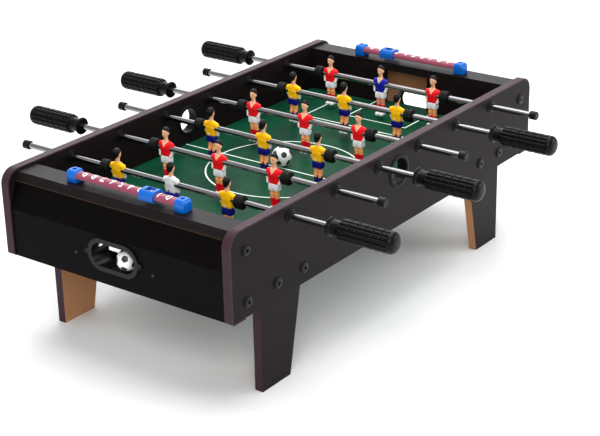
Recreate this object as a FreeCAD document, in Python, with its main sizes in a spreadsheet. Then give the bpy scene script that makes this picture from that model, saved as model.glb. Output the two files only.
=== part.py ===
"""Tabletop foosball table, as a parametric FreeCAD document.

Frame: origin on the ground under the middle of the box, +X along the table towards the red team's
goal, +Z up, millimetres. The yellow end is at -X and the near side at -Y. The table looks the same
after half a turn about Z, apart from its team colours and its balls, so most pieces are drawn once
for the near side or the yellow end and placed a second time half a turn round.
"""
import FreeCAD, Part
import math
import os
import re
import Sketcher

Vector = FreeCAD.Vector
X_AXIS = Vector(1, 0, 0)
Z_AXIS = Vector(0, 0, 1)

# Driving dimensions: (alias, value in millimetres or a count, what it is)
SIZES = [
    ("box_length", 700, "length over the side walls"),
    ("box_width", 370, "width over the side walls"),
    ("wall_cover", 15, "side walls' top edge above the rod axis"),
    ("wall_drop", 46, "side walls' bottom edge below the playing surface"),
    ("wall_thick", 12, "side wall board"),
    ("wall_corner", 20, "radius of the side walls' top corners"),
    ("wall_foot_corner", 4, "radius of the side walls' bottom corners"),
    ("band_thick", 2, "edge band on the side walls"),
    ("band_return", 25, "length that the band runs back under each bottom corner"),
    ("field_top", 167, "playing surface above the ground"),
    ("field_thick", 3, "playing field board"),
    ("groove_depth", 5, "groove in the side walls that holds the field"),
    ("groove_gap", 0.2, "play of the field in its grooves"),
    ("board_thick", 12, "end panel, ledge, goal board and leg board"),
    ("panel_recess", 2, "end panel back from the ends of the side walls"),
    ("panel_lift", 1, "end panel's bottom edge above the side walls'"),
    ("fold_rise", 19, "fold of the end panel above the playing surface"),
    ("panel_lean", 16, "how far the end panel leans in between the fold and the ledge top"),
    ("ledge_drop", 4, "ledge below the side walls' top edge"),
    ("goal_depth", 50, "goal line from the ends of the side walls"),
    ("goal_width", 78, "goal opening"),
    ("block_lift", 5, "corner blocks above the side walls' bottom edge"),
    ("fit_gap", 0.1, "play between a fixed piece and its hole"),
    ("run_gap", 0.05, "radial clearance of a rod in its bushings and bumpers"),
    ("leg_inset", 67, "upright edge of a leg from the ends of the side walls"),
    ("leg_foot_width", 56, "width of a leg at the ground"),
    ("leg_top_width", 90, "width of a leg at its top"),
    ("leg_top_gap", 4, "gap between a leg's top and the underside of the field"),
    ("rod_count", 6, "number of rods"),
    ("rod_end_gap", 64.5, "outermost rods from the goal line"),
    ("foot_gap", 7, "players' soles above the playing surface"),
    ("rod_radius", 4, "rod tube, outside"),
    ("rod_bore", 3, "rod tube, inside"),
    ("rod_stand_out", 74, "end cap's outer end from the side wall, with the rod in mid travel"),
    ("handle_stand_off", 58, "handle from the side wall, with the rod in mid travel"),
    ("handle_length", 94, "handle over all"),
    ("handle_bore_depth", 60, "how far the rod goes into the handle"),
    ("handle_collar_radius", 12, "collar next to the wall"),
    ("handle_collar_length", 5, "collar next to the wall"),
    ("handle_neck_radius", 9.5, "neck between collar and grip"),
    ("handle_neck_length", 12, "neck between collar and grip"),
    ("handle_grip_radius", 13.5, "ribbed grip"),
    ("handle_dome", 8, "rounding of the grip's outer end"),
    ("handle_dome_edge", 2.4, "the rounding's middle corner, in from its two edges"),
    ("handle_shoulder", 3, "rounding of the grip's inner end"),
    ("flute_radius", 1.6, "flute along the grip"),
    ("flute_lift", 0.56, "middle of a flute outside the grip"),
    ("flute_run_out", 4, "flutes back from the grip's outer end"),
    ("flute_count", 14, "flutes round the grip"),
    ("ring_groove_depth", 1.2, "groove across the grip"),
    ("ring_groove_width", 1.8, "groove across the grip"),
    ("ring_groove_pitch", 11, "distance between the grooves across the grip"),
    ("ring_groove_count", 5, "grooves across the grip"),
    ("cap_radius", 6, "rod end cap"),
    ("cap_length", 10, "rod end cap"),
    ("cap_wall", 2, "closed end of the rod end cap"),
    ("bushing_radius", 6, "bushing sleeve in the side wall"),
    ("bushing_flange_radius", 9, "bushing flanges"),
    ("bushing_flange", 3, "thickness of a bushing flange"),
    ("rod_travel", 54, "way from a bumper to its bushing, with the rod in mid travel"),
    ("bumper_length", 12, "rubber bumper ring"),
    ("bumper_radius", 9, "rubber bumper ring"),
    ("bumper_chamfer", 1.2, "rubber bumper ring"),
    ("bumper_gap", 0.5, "outer player to the bumper beside it"),
    ("player_foot_drop", 47, "soles below the rod axis"),
    ("player_head_rise", 29, "top of the head above the rod axis"),
    ("player_width", 27, "over the arms"),
    ("player_depth", 11, "chest to back"),
    ("player_shoulder_rise", 9, "shoulder line above the rod axis"),
    ("player_shoulder_radius", 4.84, "rounding across the shoulders"),
    ("player_shoulder_inset", 4.16, "rounding in from the outside of the arms"),
    ("player_waist_drop", 11.5, "hem of the shirt below the rod axis"),
    ("player_shorts_drop", 21, "hem of the shorts below the rod axis"),
    ("player_shorts_width", 15.64, "over both legs of the shorts"),
    ("player_shorts_depth", 10.45, "front to back"),
    ("player_leg_radius", 3.4, "one leg"),
    ("player_ankle_radius", 2.72, "one leg, at the shoe"),
    ("player_foot_length", 13.4, "heel to toe"),
    ("player_heel", 6, "heel behind the leg's axis"),
    ("player_foot_width", 6.46, "shoe"),
    ("player_foot_height", 6, "shoe"),
    ("player_head_width", 9.6, "head over the ears"),
    ("player_head_depth", 10.4, "face to back"),
    ("player_neck_radius", 2.9, "neck"),
    ("player_head_height", 14.5, "chin to crown"),
    ("player_arm_radius", 3.2, "one arm"),
    ("bolt_shank_radius", 2.9, "box bolt"),
    ("bolt_head_radius", 7.2, "box bolt head"),
    ("bolt_head_height", 2.6, "box bolt head"),
    ("bolt_socket_radius", 2.3, "hexagon socket over its corners"),
    ("bolt_socket_depth", 1.8, "hexagon socket"),
    ("nut_barrel_radius", 4, "tee nut barrel"),
    ("nut_barrel_length", 8, "tee nut barrel"),
    ("nut_flange_radius", 6, "tee nut flange"),
    ("nut_flange", 1.5, "thickness of the tee nut flange"),
    ("end_bolt_inset", 29, "end bolts from the ends of the side walls"),
    ("end_bolt_rise", 40.5, "upper end bolt above the playing surface"),
    ("end_bolt_drop", 25, "lower end bolt below the playing surface"),
    ("leg_bolt_inset", 20, "outer leg bolt from the leg's upright edge"),
    ("leg_bolt_pitch", 52.5, "distance between the two bolts of a leg"),
    ("leg_bolt_drop", 23.5, "leg bolts below the playing surface"),
    ("serve_rise", 34, "middle of the serving hole above the playing surface"),
    ("serve_bore", 17.5, "serving hole ring, inside radius"),
    ("serve_sleeve", 20, "serving hole ring, sleeve radius"),
    ("serve_flange_radius", 22.5, "serving hole ring, flange radius"),
    ("serve_flange", 1.6, "serving hole ring, flange thickness"),
    ("oval_drop", 6, "middle of the ball return below the playing surface"),
    ("oval_length", 70, "ball return opening"),
    ("oval_rise", 31, "ball return opening"),
    ("mouth_lip", 2, "ball return opening inside the edge of the tray"),
    ("tray_wall", 1.5, "wall of the ball tray"),
    ("tray_reach", 18, "how far the ball tray goes in behind the end panel"),
    ("tray_back_drop", 9, "top of the tray's back wall below the middle of the ball return"),
    ("flange_rim", 6, "oval flange round the ball return opening"),
    ("tray_flange", 2, "thickness of the oval flange"),
    ("lug_offset", 7.5, "screw lugs beyond the ends of the ball return opening"),
    ("lug_radius", 3.8, "screw lug of the oval flange"),
    ("side_screw_reach", 63, "outer panel screws from the middle"),
    ("side_screw_drop", 7.5, "outer panel screws below the middle of the ball return"),
    ("screw_head_radius", 2.5, "small screw"),
    ("screw_crown_radius", 1.5, "flat top of a small screw's head"),
    ("screw_head", 1.4, "small screw"),
    ("screw_shank_radius", 1.3, "small screw"),
    ("screw_length", 9, "small screw under its head"),
    ("counter_inset", 35, "middle of the score counter from the ends of the side walls"),
    ("bracket_width", 18, "score counter bracket along the table"),
    ("bracket_length", 17, "score counter bracket across the table"),
    ("bracket_height", 16, "score counter bracket"),
    ("bracket_round", 7, "rounding of the bracket's top"),
    ("bracket_foot_round", 1, "rounding of the bracket's bottom"),
    ("bracket_inner", 79, "bracket's inner face from the middle of the counter"),
    ("bracket_socket", 4, "how far the bar goes into a bracket"),
    ("bracket_screw_seat", 5, "screw seat above the ledge"),
    ("bar_width", 15, "score bar"),
    ("bar_height", 7, "score bar"),
    ("bar_round", 6, "rounding of the score bar's top"),
    ("bar_foot_round", 0.5, "rounding of the score bar's bottom"),
    ("bar_lift", 6.5, "gap between the ledge and the score bar"),
    ("slider_length", 22, "score slider along its bar"),
    ("slider_wall", 3, "wall of the score slider"),
    ("slider_foot_round", 2, "rounding of the slider's bottom"),
    ("slider_gap", 0.3, "play of the slider on its bar"),
    ("slider_window_length", 13, "window in the slider"),
    ("slider_window_width", 10, "window in the slider"),
    ("numeral_pitch", 15, "distance between the numerals on a score bar"),
    ("numeral_shown", 2, "numeral in the slider's window at rest"),
    ("numeral_last", 9, "highest numeral"),
    ("ball_radius", 14, "ball"),
    ("field_ball_x", 0, "ball on the field"),
    ("field_ball_y", 6.5, "ball on the field"),
    ("tray_ball_gap", 2.3, "ball in the tray from the tray's back wall"),
    ("tray_ball_y", -12, "ball in the tray"),
]
ALIASES = {alias for alias, size, note in SIZES}

# Sizes that follow from the driving ones
DERIVED = {
    "rod_height": "field_top + foot_gap + player_foot_drop",
    "wall_top": "rod_height + wall_cover",
    "wall_bottom": "field_top - wall_drop",
    "goal_face": "box_length / 2 - goal_depth",
    "panel_bottom": "wall_bottom + panel_lift",
    "panel_fold": "field_top + fold_rise",
    "ledge_top": "wall_top - ledge_drop",
    "block_bottom": "wall_bottom + block_lift",
    "leg_outer": "box_length / 2 - leg_inset",
    "rod_pitch": "2 * (goal_face - rod_end_gap) / (rod_count - 1)",
    "rod_plain_end": "box_width / 2 + rod_stand_out",
    "handle_start": "box_width / 2 + handle_stand_off",
    "bumper_inner": "box_width / 2 - wall_thick - bushing_flange - rod_travel - bumper_length",
    "player_pitch": "bumper_inner - bumper_gap - player_width / 2",
    "bolt_length": "wall_thick + board_thick",
    "end_bolt_x": "box_length / 2 - end_bolt_inset",
    "end_bolt_high": "field_top + end_bolt_rise",
    "end_bolt_low": "field_top - end_bolt_drop",
    "leg_bolt_outer": "leg_outer - leg_bolt_inset",
    "leg_bolt_inner": "leg_bolt_outer - leg_bolt_pitch",
    "leg_bolt_height": "field_top - leg_bolt_drop",
    "serve_height": "field_top + serve_rise",
    "oval_height": "field_top - oval_drop",
    "tray_length": "oval_length + 2 * mouth_lip",
    "tray_rise": "oval_rise + 2 * mouth_lip",
    "tray_back_top": "oval_height - tray_back_drop",
    "tray_flange_length": "oval_length + 2 * flange_rim",
    "tray_flange_rise": "oval_rise + 2 * flange_rim",
    "lug_reach": "oval_length / 2 + lug_offset",
    "side_screw_height": "oval_height - side_screw_drop",
    "counter_x": "box_length / 2 - counter_inset",
    "bracket_middle": "bracket_inner + bracket_length / 2",
}

# Formulas that several pieces share
WALL_OUTER = "box_width / 2"
WALL_INNER = "(box_width / 2 - wall_thick)"
WALL_END = "box_length / 2"
CORE_END = "(box_length / 2 - band_thick)"
CORE_TOP = "(wall_top - band_thick)"
CORE_BOTTOM = "(wall_bottom + band_thick)"
PANEL_OUTER = "(box_length / 2 - panel_recess)"
PANEL_INNER = "(box_length / 2 - panel_recess - board_thick)"
LEAN_SLOPE = "(panel_lean / (ledge_top - panel_fold))"
LEDGE_BOTTOM = "(ledge_top - board_thick)"
LEAN_DROP = "(board_thick * ((1 + " + LEAN_SLOPE + " ^ 2) ^ 0.5 - 1) / " + LEAN_SLOPE + ")"
FIELD_BOTTOM = "(field_top - field_thick)"
FIELD_END = "(goal_face + board_thick)"
FIRST_ROD_X = "(-rod_pitch * (rod_count - 1) / 2)"
SERVE_HOLE = "(serve_sleeve + fit_gap)"
BUSHING_HOLE = "(bushing_radius + fit_gap)"
BOLT_HOLE = "(bolt_shank_radius + fit_gap)"
NUT_HOLE = "(nut_barrel_radius + fit_gap)"
SCREW_HOLE = "(screw_shank_radius + fit_gap)"
TRAY_BACK = "(" + PANEL_INNER + " - tray_reach)"
BAR_BOTTOM = "(ledge_top + bar_lift)"
BAR_TOP = "(ledge_top + bar_lift + bar_height)"
PIN_HOLE = "(rod_radius + run_gap)"

document = FreeCAD.newDocument("FoosballTable")


# --- sheet and formulas ---------------------------------------------------------------------------

def make_sheet():
    sheet = document.addObject("Spreadsheet::Sheet", "Sizes")
    for row, (alias, size, note) in enumerate(SIZES, start=1):
        sheet.set(f"A{row}", note)
        sheet.set(f"B{row}", str(size))
        sheet.setAlias(f"B{row}", alias)
    document.recompute()
    return sheet


def linked(formula):
    """The formula with derived sizes written out, and each driving one as a reference to the sheet."""
    def spelled(match):
        word = match.group()
        if word in DERIVED:
            return f"({linked(DERIVED[word])})"
        return f"Sizes.{word}" if word in ALIASES else word
    return re.sub(r"[a-z_]+", spelled, formula)


def number(formula):
    return float(sheet.evalExpression(linked(formula)))


# --- drawing helpers ------------------------------------------------------------------------------

def new_body(label, turned=False):
    """A body drawn in the table's frame, and turned half a turn about Z if asked."""
    body = document.addObject("PartDesign::Body", label)
    body.Label = label
    if turned:
        body.Placement = FreeCAD.Placement(Vector(), FreeCAD.Rotation(Z_AXIS, 180))
    return body


def new_sketch(body, plane, offset, name):
    sketch = body.newObject("Sketcher::SketchObject", name)
    support = [feature for feature in body.Origin.OriginFeatures if feature.Role == plane][0]
    sketch.AttachmentSupport = [(support, "")]
    sketch.MapMode = "FlatFace"
    sketch.setExpression("AttachmentOffset.Base.z", linked(offset))
    return sketch


def dimension(sketch, kind, formula, *points):
    index = sketch.addConstraint(Sketcher.Constraint(kind, *points, number(formula)))
    sketch.setExpression(f"Constraints[{index}]", linked(formula))


def pin(sketch, geometry, point, across=None, up=None):
    """Ties a point to the sketch's origin; a formula of "0" puts it on the axis."""
    for kind, formula, axis in (("DistanceX", across, -2), ("DistanceY", up, -1)):
        if formula == "0":
            sketch.addConstraint(Sketcher.Constraint("PointOnObject", geometry, point, axis))
        elif formula is not None:
            dimension(sketch, kind, formula, -1, 1, geometry, point)


def polygon(body, plane, offset, corners, name):
    """A closed outline of straight edges, through corners given as formulas."""
    sketch = new_sketch(body, plane, offset, name)
    points = [Vector(number(across), number(up), 0) for across, up in corners]
    for index, start in enumerate(points):
        sketch.addGeometry(Part.LineSegment(start, points[(index + 1) % len(points)]), False)
    for index in range(len(points)):
        sketch.addConstraint(Sketcher.Constraint("Coincident", index, 2, (index + 1) % len(points), 1))
    for index, (across, up) in enumerate(corners):
        pin(sketch, index, 1, across, up)
    return sketch


def circles(body, plane, offset, holes, name):
    """Circles given as (across, up, radius) formulas."""
    sketch = new_sketch(body, plane, offset, name)
    for index, (across, up, radius) in enumerate(holes):
        centre = Vector(number(across), number(up), 0)
        sketch.addGeometry(Part.Circle(centre, Z_AXIS, number(radius)), False)
        pin(sketch, index, 3, across, up)
        dimension(sketch, "Radius", radius, index)
    return sketch


def oval(body, plane, offset, up, length, rise, name):
    """A slot outline with round ends, centred across the sketch."""
    sketch = new_sketch(body, plane, offset, name)
    radius = f"({rise}) / 2"
    reach = f"(({length}) - ({rise})) / 2"
    middle, half, end = number(up), number(reach), number(radius)
    quarter = math.pi / 2
    left = Part.Circle(Vector(-half, middle, 0), Z_AXIS, end)
    right = Part.Circle(Vector(half, middle, 0), Z_AXIS, end)
    sketch.addGeometry(Part.ArcOfCircle(left, quarter, 3 * quarter), False)
    sketch.addGeometry(Part.ArcOfCircle(right, 3 * quarter, 5 * quarter), False)
    for height in (middle - end, middle + end):
        sketch.addGeometry(Part.LineSegment(Vector(-half, height, 0), Vector(half, height, 0)), False)
    for joint in ((0, 1, 3, 1), (0, 2, 2, 1), (2, 2, 1, 1), (3, 2, 1, 2)):
        sketch.addConstraint(Sketcher.Constraint("Tangent", *joint))
    sketch.addConstraint(Sketcher.Constraint("Equal", 0, 1))
    pin(sketch, 0, 3, f"-({reach})", up)
    pin(sketch, 1, 3, reach, up)
    dimension(sketch, "Radius", radius, 0)
    return sketch


def rounded(body, plane, offset, left, bottom, right, top, low_round, high_round, name):
    """A rectangle with one radius at its lower corners and another at its upper ones."""
    sketch = new_sketch(body, plane, offset, name)
    x0, y0, x1, y1 = number(left), number(bottom), number(right), number(top)
    low, high = number(low_round), number(high_round)
    quarter = math.pi / 2
    corners = (((x0 + low, y0 + low), low, 2), ((x1 - low, y0 + low), low, 3),
               ((x1 - high, y1 - high), high, 4), ((x0 + high, y1 - high), high, 5))
    for (across, up), radius, turn in corners:
        circle = Part.Circle(Vector(across, up, 0), Z_AXIS, radius)
        sketch.addGeometry(Part.ArcOfCircle(circle, turn * quarter, (turn + 1) * quarter), False)
    edges = (((x0 + low, y0), (x1 - low, y0)), ((x1, y0 + low), (x1, y1 - high)),
             ((x1 - high, y1), (x0 + high, y1)), ((x0, y1 - high), (x0, y0 + low)))
    for start, end in edges:
        sketch.addGeometry(Part.LineSegment(Vector(*start, 0), Vector(*end, 0)), False)
    for index, direction in enumerate(("Horizontal", "Vertical", "Horizontal", "Vertical")):
        edge = 4 + index
        sketch.addConstraint(Sketcher.Constraint("Tangent", index, 2, edge, 1))
        sketch.addConstraint(Sketcher.Constraint("Tangent", edge, 2, (index + 1) % 4, 1))
        sketch.addConstraint(Sketcher.Constraint(direction, edge))
    for index, radius in enumerate((low_round, low_round, high_round, high_round)):
        dimension(sketch, "Radius", radius, index)
    pin(sketch, 4, 1, up=bottom)
    pin(sketch, 5, 1, across=right)
    pin(sketch, 6, 1, up=top)
    pin(sketch, 7, 1, across=left)
    return sketch


def pad(body, sketch, length, back=False):
    """Thickens a sketch along its normal, or against it; XZ sketches face -Y, YZ ones face +X."""
    feature = body.newObject("PartDesign::Pad", f"{sketch.Name}_pad")
    feature.Profile = sketch
    feature.Reversed = back
    feature.setExpression("Length", linked(length))
    return feature


def cut(body, sketch, depth, along=False):
    """Cuts a sketch into the body against the sketch's normal, or along it if asked."""
    document.recompute()
    before = body.Shape.Volume
    feature = body.newObject("PartDesign::Pocket", f"{sketch.Name}_cut")
    feature.Profile = sketch
    feature.Reversed = along
    feature.setExpression("Length", linked(depth))
    document.recompute()
    if body.Shape.Volume >= before - 1e-6:
        raise RuntimeError(f"{feature.Label} cuts nothing from {body.Label}")
    return feature


def turned_body(label, profile):
    """A body of revolution about its own Z, from (radius, height) formulas."""
    body = new_body(label)
    sketch = polygon(body, "XZ_Plane", "0", profile, f"{label}_profile")
    feature = body.newObject("PartDesign::Revolution", f"{label}_turning")
    feature.Profile = sketch
    feature.ReferenceAxis = (sketch, ["V_Axis"])
    feature.Angle = 360
    return body


def place(feature, across, along, up, axis=Z_AXIS, angle=0):
    """Sets a piece's turn, and ties its position to the sheet."""
    feature.Placement = FreeCAD.Placement(Vector(), FreeCAD.Rotation(axis, angle))
    for name, formula in zip("xyz", (across, along, up)):
        feature.setExpression(f"Placement.Base.{name}", linked(formula))
    return feature


def copy_of(template, name, across="0", along="0", up="0", axis=Z_AXIS, angle=0):
    link = document.addObject("App::Link", name)
    link.LinkedObject = template
    return place(link, across, along, up, axis, angle)


def group(label, pieces):
    """Like pieces that share one node, each a solid of its own."""
    compound = document.addObject("Part::Compound", label)
    compound.Label = label
    compound.Links = pieces
    return compound


def primitive(kind, name, **sizes):
    feature = document.addObject(kind, name)
    for prop, formula in sizes.items():
        feature.setExpression(prop, linked(formula))
    return feature


def box(name, low, high):
    """A Part::Box between two corners given as formulas."""
    (x0, y0, z0), (x1, y1, z1) = low, high
    feature = primitive("Part::Box", name, Length=f"({x1}) - ({x0})", Width=f"({y1}) - ({y0})",
                        Height=f"({z1}) - ({z0})")
    return place(feature, x0, y0, z0)


# --- the box --------------------------------------------------------------------------------------

def side_wall(label, turned):
    """Side wall without its edge band: field groove, rod holes, serving hole and bolt holes."""
    body = new_body(label, turned)
    outline = rounded(body, "XZ_Plane", WALL_OUTER, f"-{CORE_END}", CORE_BOTTOM, CORE_END, CORE_TOP,
                      "wall_foot_corner - band_thick", "wall_corner - band_thick", f"{label}_outline")
    pad(body, outline, "wall_thick", back=True)
    groove = polygon(body, "XZ_Plane", WALL_INNER, [
        (f"-{FIELD_END}", FIELD_BOTTOM), (FIELD_END, FIELD_BOTTOM),
        (FIELD_END, "field_top"), (f"-{FIELD_END}", "field_top")], f"{label}_groove")
    cut(body, groove, "groove_depth", along=True)
    holes = [(f"{FIRST_ROD_X} + {index} * rod_pitch", "rod_height", BUSHING_HOLE)
             for index in range(rod_count)]
    holes.append(("0", "serve_height", SERVE_HOLE))
    for across, up in wall_bolt_places():
        holes.append((across, up, BOLT_HOLE))
    bores = circles(body, "XZ_Plane", WALL_OUTER, holes, f"{label}_bores")
    cut(body, bores, "wall_thick")
    return body


def wall_bolt_places():
    """(across, up) of the bolts through one side wall."""
    places = []
    for side in ("-", ""):
        places += [(f"{side}end_bolt_x", "end_bolt_high"), (f"{side}end_bolt_x", "end_bolt_low"),
                   (f"{side}leg_bolt_outer", "leg_bolt_height"),
                   (f"{side}leg_bolt_inner", "leg_bolt_height")]
    return places


def edge_band(label, turned):
    """Plastic band over the wall's ends and top, with a short return under each bottom corner."""
    body = new_body(label, turned)
    outline = rounded(body, "XZ_Plane", WALL_OUTER, f"-{WALL_END}", "wall_bottom", WALL_END, "wall_top",
                      "wall_foot_corner", "wall_corner", f"{label}_outline")
    pad(body, outline, "wall_thick", back=True)
    core = rounded(body, "XZ_Plane", WALL_OUTER, f"-{CORE_END}", CORE_BOTTOM, CORE_END, CORE_TOP,
                   "wall_foot_corner - band_thick", "wall_corner - band_thick", f"{label}_core")
    cut(body, core, "wall_thick")
    gap_end = "(box_length / 2 - band_return)"
    gap = polygon(body, "XZ_Plane", WALL_OUTER, [
        (f"-{gap_end}", "wall_bottom - band_thick"), (gap_end, "wall_bottom - band_thick"),
        (gap_end, f"{CORE_BOTTOM} + band_thick"), (f"-{gap_end}", f"{CORE_BOTTOM} + band_thick")],
        f"{label}_gap")
    cut(body, gap, "wall_thick")
    return body


def lean_at(height):
    """Distance of the end panel's leaning outer face from the middle, at a height."""
    return f"({PANEL_OUTER} - {LEAN_SLOPE} * ({height} - panel_fold))"


def lean_inner_at(height):
    """The same for its inner face, one board thickness in."""
    thickness = f"board_thick * (1 + {LEAN_SLOPE} ^ 2) ^ 0.5"
    return f"({PANEL_OUTER} - {thickness} - {LEAN_SLOPE} * ({height} - panel_fold))"


def end_panel(label, turned):
    """Folded end board: upright below, leaning in above the fold, with the ball return opening."""
    body = new_body(label, turned)
    fold_inner = f"(panel_fold - {LEAN_DROP})"
    section = polygon(body, "XZ_Plane", WALL_INNER, [
        (f"-{PANEL_OUTER}", "panel_bottom"), (f"-{PANEL_OUTER}", "panel_fold"),
        (f"-{lean_at(LEDGE_BOTTOM)}", LEDGE_BOTTOM), (f"-{lean_inner_at(LEDGE_BOTTOM)}", LEDGE_BOTTOM),
        (f"-{PANEL_INNER}", fold_inner), (f"-{PANEL_INNER}", "panel_bottom")], f"{label}_section")
    pad(body, section, f"2 * {WALL_INNER}", back=True)
    opening = oval(body, "YZ_Plane", f"-{PANEL_OUTER}", "oval_height",
                   "tray_length + 2 * (tray_wall + fit_gap)", "tray_rise + 2 * (tray_wall + fit_gap)",
                   f"{label}_opening")
    cut(body, opening, "board_thick", along=True)
    holes = [(across, up, SCREW_HOLE) for across, up in panel_screw_places()]
    bores = circles(body, "YZ_Plane", f"-{PANEL_OUTER}", holes, f"{label}_bores")
    cut(body, bores, "board_thick", along=True)
    return body


def panel_screw_places():
    """(across, up) of the small screws in one end panel: two in the oval's lugs, two beside it."""
    return [("-lug_reach", "oval_height"), ("lug_reach", "oval_height"),
            ("-side_screw_reach", "side_screw_height"), ("side_screw_reach", "side_screw_height")]


def ledge(label, turned):
    """Board on top of one end, mitred to the leaning panel, with holes for the counter's screws."""
    body = new_body(label, turned)
    section = polygon(body, "XZ_Plane", WALL_INNER, [
        ("-goal_face", LEDGE_BOTTOM), ("-goal_face", "ledge_top"),
        (f"-{lean_at('ledge_top')}", "ledge_top"), (f"-{lean_at(LEDGE_BOTTOM)}", LEDGE_BOTTOM)],
        f"{label}_section")
    pad(body, section, f"2 * {WALL_INNER}", back=True)
    holes = [("-counter_x", f"{side}bracket_middle", SCREW_HOLE) for side in ("-", "")]
    bores = circles(body, "XY_Plane", "ledge_top", holes, f"{label}_bores")
    cut(body, bores, "board_thick")
    return body


def goal_boards(label, turned):
    """The two boards that stand on the field at one end and leave the goal open between them."""
    side = "" if turned else "-"
    outer = [f"{side}goal_face", f"{side}{FIELD_END}"]
    low_x, high_x = outer if turned else reversed(outer)
    half_goal = "goal_width / 2"
    near = box(f"{label}_near", (low_x, f"-{WALL_INNER}", "field_top"),
               (high_x, f"-{half_goal}", LEDGE_BOTTOM))
    far = box(f"{label}_far", (low_x, half_goal, "field_top"), (high_x, WALL_INNER, LEDGE_BOTTOM))
    return group(label, [near, far])


def corner_blocks():
    """Blocks in the four corners that the end bolts draw the walls and panels together on."""
    template = new_body("corner_block")
    section = polygon(template, "XZ_Plane", WALL_INNER, [
        (f"-{PANEL_INNER}", "block_bottom"), (f"-{PANEL_INNER}", f"panel_fold - {LEAN_DROP}"),
        (f"-{lean_inner_at(LEDGE_BOTTOM)}", LEDGE_BOTTOM), (f"-{FIELD_END}", LEDGE_BOTTOM),
        (f"-{FIELD_END}", "block_bottom")], "corner_block_section")
    pad(template, section, "board_thick", back=True)
    holes = [("-end_bolt_x", up, NUT_HOLE) for up in ("end_bolt_high", "end_bolt_low")]
    cut(template, circles(template, "XZ_Plane", WALL_INNER, holes, "corner_block_bores"), "board_thick")
    across = f"(2 * {WALL_INNER} - board_thick)"
    return group("corner_blocks", [
        copy_of(template, "block_yellow_near"),
        copy_of(template, "block_yellow_far", along=across),
        copy_of(template, "block_red_far", angle=180),
        copy_of(template, "block_red_near", along=f"-{across}", angle=180)])


def playing_field():
    """Field board, held in the side walls' grooves; the goal boards stand on its ends."""
    reach = f"({WALL_INNER} + groove_depth - groove_gap)"
    field = box("playing_field", (f"-{FIELD_END}", f"-{reach}", FIELD_BOTTOM),
                (FIELD_END, reach, "field_top"))
    field.Label = "playing_field"
    return field


def leg(label, mirrored, turned):
    """Flat tapered leg against the inside of a side wall, upright on its outer edge."""
    body = new_body(label, turned)
    side = "" if mirrored else "-"
    top = f"({FIELD_BOTTOM} - leg_top_gap)"
    outline = polygon(body, "XZ_Plane", WALL_INNER, [
        (f"{side}leg_outer", "0"), (f"{side}leg_outer", top),
        (f"{side}(leg_outer - leg_top_width)", top),
        (f"{side}(leg_outer - leg_foot_width)", "0")], f"{label}_outline")
    pad(body, outline, "board_thick", back=True)
    holes = [(f"{side}{across}", "leg_bolt_height", NUT_HOLE)
             for across in ("leg_bolt_outer", "leg_bolt_inner")]
    cut(body, circles(body, "XZ_Plane", WALL_INNER, holes, f"{label}_bores"), "board_thick")
    return body


# --- fasteners ------------------------------------------------------------------------------------

def wall_fasteners():
    """Box bolts through both walls, and the tee nuts that they pull against inside."""
    bolt = turned_body("box_bolt", [
        ("0", "bolt_head_height"), ("bolt_head_radius", "bolt_head_height"), ("bolt_head_radius", "0"),
        ("bolt_shank_radius", "0"), ("bolt_shank_radius", "-bolt_length"), ("0", "-bolt_length")])
    corners = []
    for index in range(6):
        angle = math.radians(60 * index)
        corners.append((f"bolt_socket_radius * {math.cos(angle):.6f}",
                        f"bolt_socket_radius * {math.sin(angle):.6f}" if index % 3 else "0"))
    socket = polygon(bolt, "XY_Plane", "bolt_head_height", corners, "box_bolt_socket")
    cut(bolt, socket, "bolt_socket_depth")
    seat = "(bolt_length - nut_barrel_length)"
    nut = turned_body("tee_nut", [
        (BOLT_HOLE, f"-{seat}"), ("nut_barrel_radius", f"-{seat}"), ("nut_barrel_radius", "-bolt_length"),
        ("nut_flange_radius", "-bolt_length"), ("nut_flange_radius", "-bolt_length - nut_flange"),
        (BOLT_HOLE, "-bolt_length - nut_flange")])
    bolts, nuts = [], []
    for side, sign, angle in (("near", "-", 90), ("far", "", -90)):
        for index, (across, up) in enumerate(wall_bolt_places()):
            spot = (across, f"{sign}{WALL_OUTER}", up, X_AXIS, angle)
            bolts.append(copy_of(bolt, f"bolt_{side}_{index}", *spot))
            nuts.append(copy_of(nut, f"nut_{side}_{index}", *spot))
    return group("wall_bolts", bolts), group("tee_nuts", nuts)


def small_screws():
    """Round-head screws of the ball trays, the end panels and the score counters."""
    screw = turned_body("small_screw", [
        ("0", "screw_head"), ("screw_crown_radius", "screw_head"), ("screw_head_radius", "0"),
        ("screw_shank_radius", "0"), ("screw_shank_radius", "-screw_length"), ("0", "-screw_length")])
    y_axis = Vector(0, 1, 0)
    screws = []
    for end, sign, angle in (("yellow", "-", -90), ("red", "", 90)):
        for index, (across, up) in enumerate(panel_screw_places()):
            face = f"({WALL_END} - screw_head)" if index < 2 else PANEL_OUTER
            screws.append(copy_of(screw, f"screw_{end}_{index}", f"{sign}{face}", across, up,
                                  y_axis, angle))
        for side in ("-", ""):
            seat = f"{side}bracket_middle"
            name = f"screw_{end}_counter_{'near' if side else 'far'}"
            screws.append(copy_of(screw, name, f"{sign}counter_x", seat,
                                  "ledge_top + bracket_screw_seat"))
    return group("small_screws", screws)


# --- mouldings ------------------------------------------------------------------------------------

def flanged_sleeve(label, bore, sleeve, flange_radius, flange):
    """Sleeve through a side wall with a flange on both faces; its Z runs out of the wall."""
    return turned_body(label, [
        (bore, f"-({flange})"), (flange_radius, f"-({flange})"), (flange_radius, "0"), (sleeve, "0"),
        (sleeve, "wall_thick"), (flange_radius, "wall_thick"),
        (flange_radius, f"wall_thick + {flange}"), (bore, f"wall_thick + {flange}")])


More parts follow.
